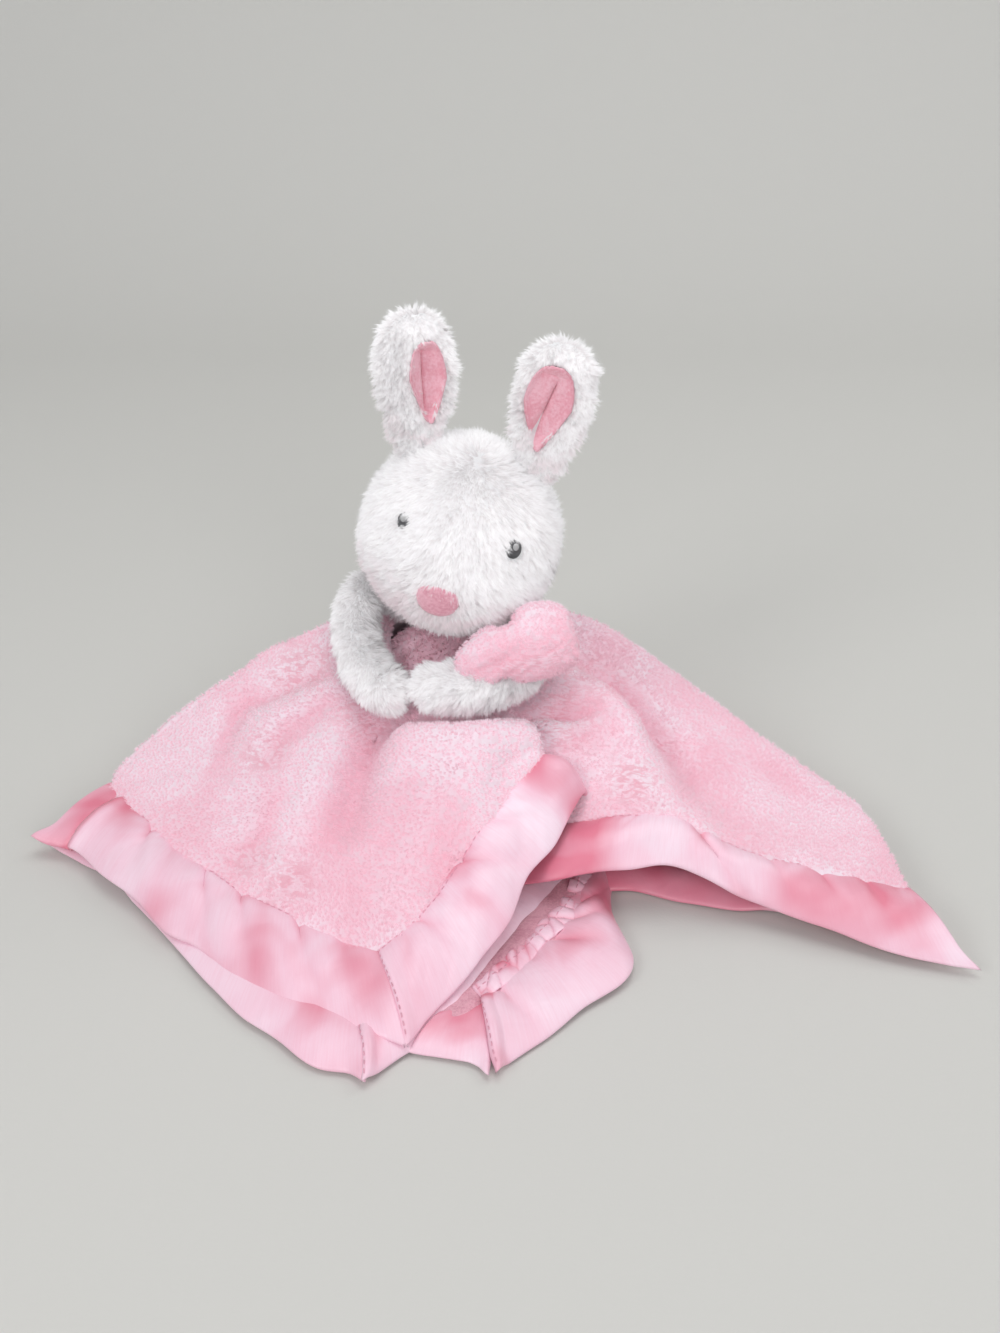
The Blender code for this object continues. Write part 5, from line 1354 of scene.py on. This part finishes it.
def makeHead():
    rise = np.linspace(-88, 88, 90)
    side = np.linspace(-180, 180, 140, endpoint=False)
    ways = headWay(*np.broadcast_arrays(side[None, :], rise[:, None]))
    lumps = headLook["lump"] * cloudNoise(ways * headLook["radius"], headLook["lumpSize"], 61)
    rings = ways * (headReach(ways, headLook["radius"]) + lumps)[..., None]
    rings = rings @ headTurn.T + np.array(headCentre)
    skin = closedLoft("headSkin", rings, plushCloth)
    local = (pointsOf(skin) - np.array(headCentre)) @ headTurn
    ways = local / np.linalg.norm(local, axis=-1, keepdims=True)
    # the fur lies down and outward over the face, more so round the nose, and back behind
    # the crown; turn goes from 0 to pi across the crown
    outward = np.clip(ways[:, :1] * 1.6, -0.8, 0.8)
    outward = outward * (1 + 1.4 * np.clip((0.2 - ways[:, 2:]) / 0.3, 0, 1))
    turn = math.pi * np.clip((ways[:, 1:2] + 0.48) / 0.5, 0, 1)
    turn = turn * np.clip((ways[:, 2:] - 0.1) / 0.4, 0, 1)
    down = combAlong(ways, np.array([0, -0.35, -1.0]) * np.ones_like(ways))
    back = combAlong(ways, np.array([0, 1.0, -0.5]) * np.ones_like(ways))
    aside = np.cross(ways, down)
    aside = aside * np.tanh(ways[:, :1] * 12) * np.sign((aside * [1, 0, 0]).sum(-1, keepdims=True)
                                                        + 1e-9)
    comb = combAlong(ways, down * np.cos(turn / 2) ** 2 + back * np.sin(turn / 2) ** 2
                     + aside * np.sin(turn)
                     + np.array([1.0, 0, 0]) * outward * np.cos(turn / 2))
    density, length = np.ones(len(ways)), np.ones(len(ways))
    for side in (-1, 1):
        eye = angleTo(ways, headWay(side * headLook["eyeSide"], headLook["eyeRise"]))
        length = length * (1 - headLook["eyeFurCut"] * np.exp(
            -(eye / headLook["eyeFurSize"]) ** 2))
        aside, above, reach = headLook["bare"][side]
        bare = angleTo(ways, headWay(side * headLook["eyeSide"] + aside,
                                     headLook["eyeRise"] + above))
        density = density * np.clip((bare - reach) / 1.5, 0, 1)
    length = length * (1 - headLook["noseFurCut"] * np.exp(
        -(angleTo(ways, noseWay) / headLook["noseFurSize"]) ** 2))
    noseSide = np.degrees(np.arctan2(ways[:, 0], -ways[:, 1])) - headLook["noseTurn"]
    noseRise = np.degrees(np.arcsin(ways[:, 2])) + headLook["muzzleDrop"]
    noseAway = np.hypot(noseSide / headLook["nosePatch"][0],
                        noseRise / headLook["nosePatch"][1])
    density = density * np.clip((noseAway - 0.72) / 0.22, 0, 1)
    # painted light from above: paler over the top of the head, deeper below
    crest = np.clip((local[:, 2] / headLook["radius"] + 0.5) / 0.5, 0, 1) * 1.6 - 1.0
    prepareFur(skin, comb @ headTurn.T, density, length, crest)
    front = local[:, 1] < 0.0
    for name, wanted, seed in (("headPileFront", front, 11), ("headPileBack", ~front, 12)):
        skin.data.attributes["furDensity"].data.foreach_set(
            "value", (density * wanted).astype(np.float32))
        growPile(name, skin, "head", "white_plush", plushTuft, plushPile,
                 **{"Tufts per m2": headLook["tufts"][name], "Length": headLook["furLength"],
                    "Comb": 1.4, "Scatter": 0.26, "Clump": 1.6, "Clump Size": 5 * mm,
                    "Shade Scatter": 0.40, "Seed": seed})
    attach(skin, "head")
    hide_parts("head_front_cover", "head_back_cover", "head_stuffing")


# ---- ears

earLook = {
    "length": 53 * mm, "width": 27.0 * mm, "rootWidth": 17 * mm, "rootRadius": 4.0 * mm,
    "half": 4.6 * mm, "cup": 2.2 * mm, "hingeRise": 2.8 * mm, "rootShare": 0.25,
    "lump": 1.1 * mm, "lumpSize": 6.5 * mm, "liningHalf": 0.6 * mm, "liningProud": 0.5 * mm,
    "recess": 3.8 * mm, "furLength": 4.6 * mm, "tufts": 150e4,
    "left": {"side": -35.0, "lean": -15.0, "turn": 24.0, "height": 0.91, "foot": 0.13,
             "head": 0.80, "width": 0.46, "shift": 3.6 * mm},
    "right": {"side": 31.0, "lean": 0.0, "turn": 0.0, "height": 0.92, "foot": 0.15,
              "head": 0.84, "width": 0.62, "shift": -1.2 * mm},
}


def earAxes(side):
    place = earLook[side]
    angle, lean = math.radians(place["side"]), math.radians(place["lean"])
    out = Vector((math.sin(angle), 0, math.cos(angle)))
    up = Vector((math.sin(lean), 0, math.cos(lean)))
    width = Matrix.Rotation(math.radians(place["turn"]), 3, up) @ Vector(
        (math.cos(lean), 0, -math.sin(lean)))
    rootWidth = (width - out * width.dot(out)).normalized()
    hinge = headFrame @ (out * (headLook["cadRadius"] + earLook["hingeRise"]))
    turned = headFrame.to_3x3()
    return [np.array(v) for v in (hinge, turned @ rootWidth, turned @ width, turned @ up,
                                  turned @ out)]


def earHalfWidth(share):
    root, full = earLook["rootWidth"] / 2, earLook["width"] / 2
    width = root + (full - root) * np.sin(math.pi / 2 * np.minimum(share / 0.6, 1))
    past = np.clip((share - 0.6) / 0.4, 0, 1)
    return width * np.sqrt(np.clip(1 - past ** 2.6, 0, 1))


def earSurface(side, share, across, depth):
    # share runs up the ear, across is metres from its middle, depth metres forward of it
    hinge, rootWidth, width, up, out = earAxes(side)
    blend = np.clip(share / earLook["rootShare"], 0, 1)[..., None]
    acrossWay = unit(rootWidth * (1 - blend) + width * blend)
    forwardWay = unit(np.cross(rootWidth, out) * (1 - blend) + np.cross(width, up) * blend)
    height = (share * earLook["length"] * earLook[side]["height"])[..., None]
    middle = hinge + np.where(height < 0, out * height, up * height)
    half = np.maximum(earHalfWidth(np.clip(share, 0, 1)), 1e-4)
    bend = earLook["cup"] * blend[..., 0] * (across / half) ** 2
    return middle + acrossWay * across[..., None] + forwardWay * (depth + bend)[..., None]


def liningSpan(side, share):
    # half the lining's width at a height: pointed at its foot and round at its head
    place = earLook[side]
    t = np.clip((share - place["foot"]) / (place["head"] - place["foot"]), 0, 1)
    width = np.minimum(t / 0.55, 1) ** 0.75 * np.sqrt(1 - np.clip((t - 0.55) / 0.45, 0, 1) ** 2.2)
    return np.maximum(width * place["width"] * earLook["width"] / 2, 0.2 * mm)


def liningHollow(side, share, across):
    # 1 in the middle of the lining, 0 at its border and beyond
    over = (across - earLook[side]["shift"]) / liningSpan(side, share)
    inside = (share > earLook[side]["foot"]) & (share < earLook[side]["head"])
    return np.clip(1 - np.abs(over) ** 2.2, 0, 1) * inside


def makeEar(side, seed):
    stations = np.concatenate([np.linspace(-0.07, 0.0, 5)[:-1], np.linspace(0, 0.992, 60)])
    turns = np.linspace(0, 2 * math.pi, 72, endpoint=False)
    share, turn = np.meshgrid(stations, turns, indexing="ij")
    half = earHalfWidth(np.clip(share, 0, 1))
    thick = earLook["rootRadius"] + (earLook["half"] - earLook["rootRadius"]) * np.clip(
        share / earLook["rootShare"], 0, 1)
    thick = thick * np.sqrt(np.clip(1 - (np.clip(share - 0.86, 0, 1) / 0.142) ** 2, 0, 1))
    thick = thick * np.sqrt(np.clip(1 - (np.clip(-share, 0, 1) / 0.075) ** 2, 0, 1))
    across = half * np.cos(turn)
    depth = thick * np.sign(np.sin(turn)) * np.abs(np.sin(turn)) ** 0.8
    front = np.sin(turn) > 0
    foot, head = earLook[side]["foot"], earLook[side]["head"]
    ends = np.clip((share - foot) / 0.12, 0, 1) * np.clip((head - share) / 0.08, 0, 1)
    depth = depth - front * earLook["recess"] * liningHollow(side, share, across) ** 0.5 * ends
    rings = earSurface(side, share, across, depth)
    lumps = cloudNoise(rings, earLook["lumpSize"], seed + 3) * earLook["lump"]
    lumps = lumps * np.clip(share * 5, 0, 1)
    out = unit(rings - rings.mean(1, keepdims=True))
    rings = rings + out * (lumps * (1 - front * liningHollow(side, share, across)))[..., None]
    skin = closedLoft(side + "EarSkin", rings, plushCloth)
    flatShare = np.append(share.ravel(), [-0.07, 1.0])
    flatAcross = np.append(across.ravel(), [0, 0])
    flatFront = np.append(front.ravel(), [False, False])
    # no hair grows on the lining or in a narrow band round it
    foot, head, shift = (earLook[side][key] for key in ("foot", "head", "shift"))
    drawn = foot + (flatShare - foot) * (head - foot) / (head + 0.055 - foot)
    hollow = liningHollow(side, drawn, shift + (flatAcross - shift) * 0.84) * flatFront
    width = earAxes(side)[2]
    overShare = flatAcross / np.maximum(earHalfWidth(np.clip(flatShare, 0, 1)), 1e-4)
    off = (flatAcross - earLook[side]["shift"]) / (earLook["width"] / 2)
    towards = pileFalls * [1, 1.3, 0.8] + width * (np.where(flatFront, off, overShare)
                                                   * 0.8)[:, None]
    comb = combAlong(normalsOf(skin), towards)
    rim = flatFront * (np.abs(overShare) < 0.9)
    # painted light from above: paler towards the ear's top, deeper at its foot
    prepareFur(skin, comb, np.clip(1 - hollow * 9, 0, 1) * (flatShare > -0.03),
               np.where(flatShare < 0.1, 0.7, 1.0) * (1 - 0.25 * rim),
               np.clip(flatShare / 0.6, 0, 1) * 1.2 - 0.6)
    growPile(side + "EarPile", skin, side + "_ear", "white_plush", plushTuft, plushPile,
             **{"Tufts per m2": earLook["tufts"], "Length": earLook["furLength"], "Comb": 1.3,
                "Scatter": 0.30, "Clump": 2.6, "Clump Size": 4.5 * mm,
                "Shade Scatter": 0.5, "Seed": seed})
    lining = makeLining(side, seed)
    for thing, slot in ((skin, "white_plush"), (lining, "ear_lining")):
        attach(thing, side + "_ear")
    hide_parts(side + "_ear_back")
    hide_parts(side + "_ear_lining")


def makeLining(side, seed):
    rows, columns = 90, 46
    place = earLook[side]
    share = np.linspace(place["foot"] + 0.004, place["head"] - 0.003, rows)
    over = np.linspace(-1, 1, columns)
    shares = np.broadcast_to(share[:, None], (rows, columns))
    across = liningSpan(side, share)[:, None] * over[None] * 1.06
    ends = (np.clip((share - place["foot"]) / 0.12, 0, 1)
            * np.clip((place["head"] - share) / 0.08, 0, 1))[:, None]
    bed = earLook["half"] - earLook["recess"] * ends * np.clip(1 - np.abs(over) ** 2.2,
                                                              0, 1)[None] ** 0.5
    puff = 1.0 * mm * (1 - over[None] ** 2) * np.ones_like(shares)
    if side == "right":      # two puffed lobes with a slanting crease that opens at its foot
        line = 2.6 * mm - (shares - 0.25) / 0.5 * 4.4 * mm
        wide = 0.9 * mm + 1.6 * mm * np.clip((0.50 - shares) / 0.25, 0, 1)
        crease = np.exp(-((across + line) / wide) ** 2) * np.clip((0.74 - shares) / 0.1, 0, 1)
        puff = puff * 1.9 - 3.2 * mm * crease
    else:                    # a straight upright fold with a flap to its left
        crease = np.exp(-((across + 1.9 * mm) / (0.8 * mm)) ** 2)
        window = np.clip((shares - 0.22) / 0.05, 0, 1) * np.clip((0.74 - shares) / 0.05, 0, 1)
        puff = puff + window * (1.2 * mm * (across < -1.9 * mm) - 2.2 * mm * crease)
    grid = earSurface(side, shares, across + place["shift"], bed + puff + earLook["liningProud"])
    grid = grid + (0.18 * mm * cloudNoise(grid, 2.5 * mm, seed))[..., None]
    lining = shellFromGrid(side + "EarLining", grid[:, ::-1],
                           roundedHalf(grid, earLook["liningHalf"]), liningCloth, wayOf(grid))
    return lining


# ---- arms

armLook = {"reach": 50 * mm, "radius": 8.1 * mm, "furLength": 4.4 * mm, "tufts": 150e4,
           "around": 40, "lump": 0.8 * mm, "lumpSize": 9 * mm, "roundEnd": 6 * mm}
# each point: right, forward and up from the neck's top in reaches, and a share of the radius
armLines = {
    "left": [(-0.37, -0.24, 0.095, 0.60), (-0.57, -0.35, 0.17, 0.85),
             (-0.73, -0.32, 0.235, 0.96), (-0.82, -0.08, 0.20, 1.00), (-0.82, 0.17, 0.08, 1.00),
             (-0.75, 0.39, -0.02, 1.02), (-0.64, 0.58, -0.08, 1.04), (-0.51, 0.71, -0.06, 0.98),
             (-0.41, 0.76, -0.04, 0.60)],
    "right": [(0.38, -0.14, 0.12, 0.60), (0.49, 0.04, 0.15, 0.80), (0.53, 0.28, 0.16, 0.90),
              (0.51, 0.55, 0.13, 0.96), (0.38, 0.77, 0.09, 1.00), (0.14, 0.86, 0.06, 1.04),
              (-0.10, 0.85, 0.04, 1.06), (-0.24, 0.80, 0.02, 0.96), (-0.33, 0.76, 0.00, 0.58)],
}


def makeArm(side, seed):
    line = np.array(armLines[side], float)
    steps = splineAt(line, np.linspace(0, len(line) - 1, 110))
    spots = steps[:, :3] * [1, -1, 1] * armLook["reach"] + [0, 0, neckHeight]
    share = steps[:, 3]
    tangent = unit(np.gradient(spots, axis=0))
    run = np.concatenate([[0], np.cumsum(np.linalg.norm(np.diff(spots, axis=0), axis=1))])
    radius = armLook["radius"] * share
    for away in (run, run[-1] - run):
        t = np.clip(away / armLook["roundEnd"], 0, 1)
        radius = radius * np.sqrt(np.clip(1 - (1 - t) ** 2, 0.0008, 1))
    frames = []
    flat = np.array([0, 0, 1.0])
    for way in tangent:
        flat = unit(flat - way * flat.dot(way))
        frames.append((flat, np.cross(way, flat)))
    turns = np.linspace(0, 2 * math.pi, armLook["around"], endpoint=False)
    rings = []
    for spot, (a, b), r in zip(spots, frames, radius):
        out = np.cos(turns)[:, None] * a + np.sin(turns)[:, None] * b
        rings.append(spot + out * r)
    rings = np.array(rings)
    lumps = cloudNoise(rings, armLook["lumpSize"], seed) * armLook["lump"]
    middle = rings.mean(1, keepdims=True)
    rings = rings + unit(rings - middle) * lumps[..., None]
    skin = closedLoft(side + "ArmSkin", rings, plushCloth)
    comb = np.concatenate([np.repeat(tangent * 0.9, armLook["around"], axis=0), -tangent[:1],
                           tangent[-1:]])
    comb = combAlong(normalsOf(skin), comb * 0.55 + pileFalls * 0.8)
    # painted light from above: upward faces paler, downward ones deeper
    prepareFur(skin, comb, crest=np.clip(normalsOf(skin)[:, 2] * 1.5, -1, 0.6))
    growPile(side + "ArmPile", skin, side + "_arm", "white_plush", plushTuft, plushPile,
             **{"Tufts per m2": armLook["tufts"], "Length": armLook["furLength"], "Comb": 1.5,
                "Scatter": 0.30, "Clump": 3.0, "Clump Size": 5.5 * mm,
                "Shade Scatter": 0.35, "Seed": seed})
    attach(skin, side + "_arm")
    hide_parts(side + "_arm_cover", side + "_arm_stuffing")


# ---- face

faceLook = {
    "eyeWidth": 6.9 * mm, "eyeHeight": 7.2 * mm, "eyeProud": 1.5 * mm,
    "eyeSet": {"left": 1.3 * mm, "right": 0.8 * mm}, "glintWidth": 2.5 * mm,
    "glintHeight": 2.7 * mm, "glintProud": 0.8 * mm, "glintRise": 1.05 * mm,
    "noseWidth": 17.6 * mm, "noseHeight": 13.4 * mm, "noseProud": 1.7 * mm, "noseChin": 0.76,
}


def facePatch(name, way, lift, outline, dome, material, rows=40, columns=60):
    # a disc on the face: outline(angle) is its reach in the face's own plane, dome its bulge
    way = np.asarray(way, float)
    right = unit(np.cross([0.0, 0.0, 1.0], way))
    up = np.cross(way, right)
    reach = headReach(way[None], headLook["cadRadius"])[0] + lift
    share = np.linspace(0.0, 1.0, rows) ** 0.8
    turn = np.linspace(0, 2 * math.pi, columns, endpoint=False)
    x, y = outline(turn)
    flat = share[:, None, None] * (x[:, None] * right + y[:, None] * up)
    flat[0] = flat[1] * 0.3
    away = np.linalg.norm(flat, axis=-1)
    sink = reach - np.sqrt(np.maximum(reach**2 - away**2, 0))
    rise = dome * np.sqrt(np.clip(1 - share**2.6, 0, 1))[:, None]
    top = way * (reach - sink + rise)[..., None] + flat
    under = way * (reach - sink - 1.6 * mm)[..., None] + flat * 0.94
    rings = np.concatenate([top, under[::-1]])
    rings = rings @ headTurn.T + np.array(headCentre)
    patch = closedLoft(name, rings, material)
    inside = np.repeat(np.concatenate([1 - share, 0 * share]), columns)
    addAttribute(patch, "inside", np.append(inside, [1, 0]))
    return patch


def ovalOutline(width, height):
    return lambda turn: (np.cos(turn) * width / 2, np.sin(turn) * height / 2)


def noseOutline(turn):
    x = np.sign(np.cos(turn)) * np.abs(np.cos(turn)) ** 0.86 * faceLook["noseWidth"] / 2
    y = np.sign(np.sin(turn)) * np.abs(np.sin(turn)) ** 0.86 * faceLook["noseHeight"] / 2
    t = np.clip(0.5 - y / faceLook["noseHeight"], 0, 1)
    x = x * (1 - (1 - faceLook["noseChin"]) * t ** 1.3)
    return x, y


def makeFace():
    made = []
    for side, sign in (("left", -1), ("right", 1)):
        way = headWay(sign * headLook["eyeSide"], headLook["eyeRise"])
        eye = facePatch(side + "Eye", way, -faceLook["eyeSet"][side],
                        ovalOutline(faceLook["eyeWidth"], faceLook["eyeHeight"]),
                        faceLook["eyeProud"], eyeThread)
        glintWay = unit(way + headWay(sign * headLook["eyeSide"], headLook["eyeRise"] + 90)
                        * (faceLook["glintRise"] / headLook["cadRadius"]))
        glint = facePatch(side + "Glint", glintWay, 1.4 * mm - faceLook["eyeSet"][side],
                          ovalOutline(faceLook["glintWidth"], faceLook["glintHeight"]),
                          faceLook["glintProud"], glintThread, 12, 24)
        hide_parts(side + "_eye")
        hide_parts(side + "_eye_glint")
        made += [(eye, "eye_thread"), (glint, "glint_thread")]
    nose = facePatch("nosePatch", noseWay, -0.6 * mm, noseOutline, faceLook["noseProud"],
                     noseFelt)
    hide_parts("nose_patch")
    made.append((nose, "nose_felt"))
    for thing, slot in made:
        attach(thing, "head")


# ---- fold of the blanket in the arms

foldLook = {
    "place": (0.42, 0.81, 0.36), "width": 45 * mm, "height": 34.5 * mm, "depth": 19 * mm,
    "lean": -38.0, "tip": -18.0, "tufts": 110e4, "boxy": 0.82,
    "dent": 5.0 * mm, "notch": 3.0 * mm, "crease": 1.6 * mm, "ridge": 0.34 * mm,
    "ridgeSize": 1.5 * mm, "lump": 0.9 * mm, "lumpSize": 10 * mm,
}


def makeHeldFold():
    across, forward, up = foldLook["place"]
    middle = np.array([across * armLook["reach"], -forward * armLook["reach"],
                       neckHeight + up * armLook["reach"]])
    turn = np.array(Matrix.Rotation(math.radians(foldLook["lean"]), 3, "X")
                    @ Matrix.Rotation(math.radians(foldLook["tip"]), 3, "Y"))
    along = np.linspace(-89, 89, 170)
    around = np.linspace(-180, 180, 240, endpoint=False)
    a, b = np.radians(np.broadcast_arrays(along[:, None], around[None]))
    power = foldLook["boxy"]
    x = np.sin(a)
    ring = np.cos(a) ** power
    y = -np.sign(np.cos(b)) * np.abs(np.cos(b)) ** power * ring
    z = np.sign(np.sin(b)) * np.abs(np.sin(b)) ** power * ring
    taper = 0.76 + 0.27 * x
    spot = np.stack([x * foldLook["width"] / 2, y * taper * foldLook["depth"] / 2,
                     z * taper * foldLook["height"] / 2], -1)
    out = unit(np.stack([x / 1.5, y, z / 1.2], -1))
    u, w = spot[..., 0], spot[..., 2]
    front = np.clip(-y, 0, 1)
    away = (w - 12 * mm) * np.where(w > 12 * mm, 0.5, 1.7)    # a pocket with a crisp lower lip
    dent = np.exp(-((u + 1.5 * mm) / (5 * mm)) ** 2 - (away / (5 * mm)) ** 2) * (z > 0)
    notch = np.exp(-((u + 8 * mm) / (3.5 * mm)) ** 2 - ((w + 13 * mm) / (5 * mm)) ** 2)
    crease = np.exp(-((w + 2 * mm - 0.25 * u) / (2.6 * mm)) ** 2) * np.clip((10 * mm - u)
                                                                         / (20 * mm), 0, 1)
    lower = np.clip((4 * mm - w) / (10 * mm), 0, 1)
    ridges = cloudNoise(np.stack([u * 0.3, y * 0, w - 0.3 * u], -1), foldLook["ridgeSize"], 71)
    lift = (-foldLook["dent"] * dent - foldLook["notch"] * notch
            - foldLook["crease"] * crease * front + foldLook["ridge"] * ridges * lower
            + foldLook["lump"] * cloudNoise(spot, foldLook["lumpSize"], 72))
    spot = (spot + out * lift[..., None]) @ turn.T + middle
    fold = closedLoft("heldFold", spot, fleeceCloth)
    # painted light: paler higher up the fold, painted shade in the dent, notch and crease, painted
    # light and shade on the ridges
    crest = np.clip((w + 4 * mm) / (12 * mm), 0.0, 0.9) - 2.6 * dent - 0.7 * notch
    crest = crest - 0.8 * crease * front + 0.9 * ridges * lower * front
    short = 1 - 0.7 * lower * front     # the pile is pressed flat over the ridges
    prepareFur(fold, combAlong(normalsOf(fold), pileFalls + [0.2, 0, 0]),
               length=np.append(short.ravel(), [0.6, 0.6]), crest=np.append(crest.ravel(), [0, 0]),
               crinkle=np.append((lower * front).ravel(), [lower.mean(), lower.mean()]))
    growPile("heldFoldPile", fold, "right_arm", "pink_fleece", fleeceTuft, fleecePile,
             **{**fleeceHairs, "Tufts per m2": foldLook["tufts"], "Seed": 141})
    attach(fold, "right_arm")
    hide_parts("held_blanket_fold")


# ---- gathered cloth between the arms

gathersLook = {"foot": 27 * mm, "waist": 30.5 * mm, "pleats": 13, "depth": 1.8 * mm,
               "base": 3.4 * mm, "top": 65 * mm, "tufts": 80e4}


def makeGathers():
    deep = gathersLook["top"] - gathersLook["base"]
    rise = np.linspace(0, 1, 60)
    turns = np.linspace(0, 2 * math.pi, 300, endpoint=False)
    share, turn = np.meshgrid(rise, turns, indexing="ij")
    radius = gathersLook["foot"] + (gathersLook["waist"] - gathersLook["foot"]) * share
    wobble = cloudNoise(np.stack([np.cos(turn), np.sin(turn), share * 0.4], -1), 0.45, 81)
    radius = radius + gathersLook["depth"] * np.cos(gathersLook["pleats"] * turn + wobble * 2.5)
    radius = radius * np.sqrt(np.clip(1 - np.clip((share - 0.72) / 0.29, 0, 1) ** 2, 0.01, 1))
    spots = np.stack([radius * np.cos(turn) - 1 * mm, radius * np.sin(turn) + 1 * mm,
                      gathersLook["base"] + deep * share], -1)
    gathers = closedLoft("neckGathers", spots, fleeceCloth)
    points = pointsOf(gathers)
    seen = np.clip((points[:, 2] - 38 * mm) / (6 * mm), 0, 1) * (points[:, 1] < 8 * mm)
    # painted shade over the whole gathers, which lie in the shade between the arms
    prepareFur(gathers, np.zeros((len(points), 3)) + [0.2, -0.5, -0.6], seen, 1.5, -0.5)
    growPile("gathersPile", gathers, "blanket", "pink_fleece", fleeceTuft, fleecePile,
             **{**fleeceHairs, "Tufts per m2": gathersLook["tufts"], "Comb": 0.8,
                "Scatter": 0.4, "Clump": 2.0, "Shade Scatter": 0.25, "Seed": 151})
    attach(gathers, "blanket")
    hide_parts("neck_gathers")


makeHead()
makeEar("left", 21)
makeEar("right", 22)
makeArm("left", 31)
makeArm("right", 32)
makeFace()
makeHeldFold()
makeGathers()
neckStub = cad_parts["neck_stub"]      # sewn plush, hidden between the head and the gathers
neckStub.data.materials.clear()
neckStub.data.materials.append(plushCloth)
print("rabbit made")
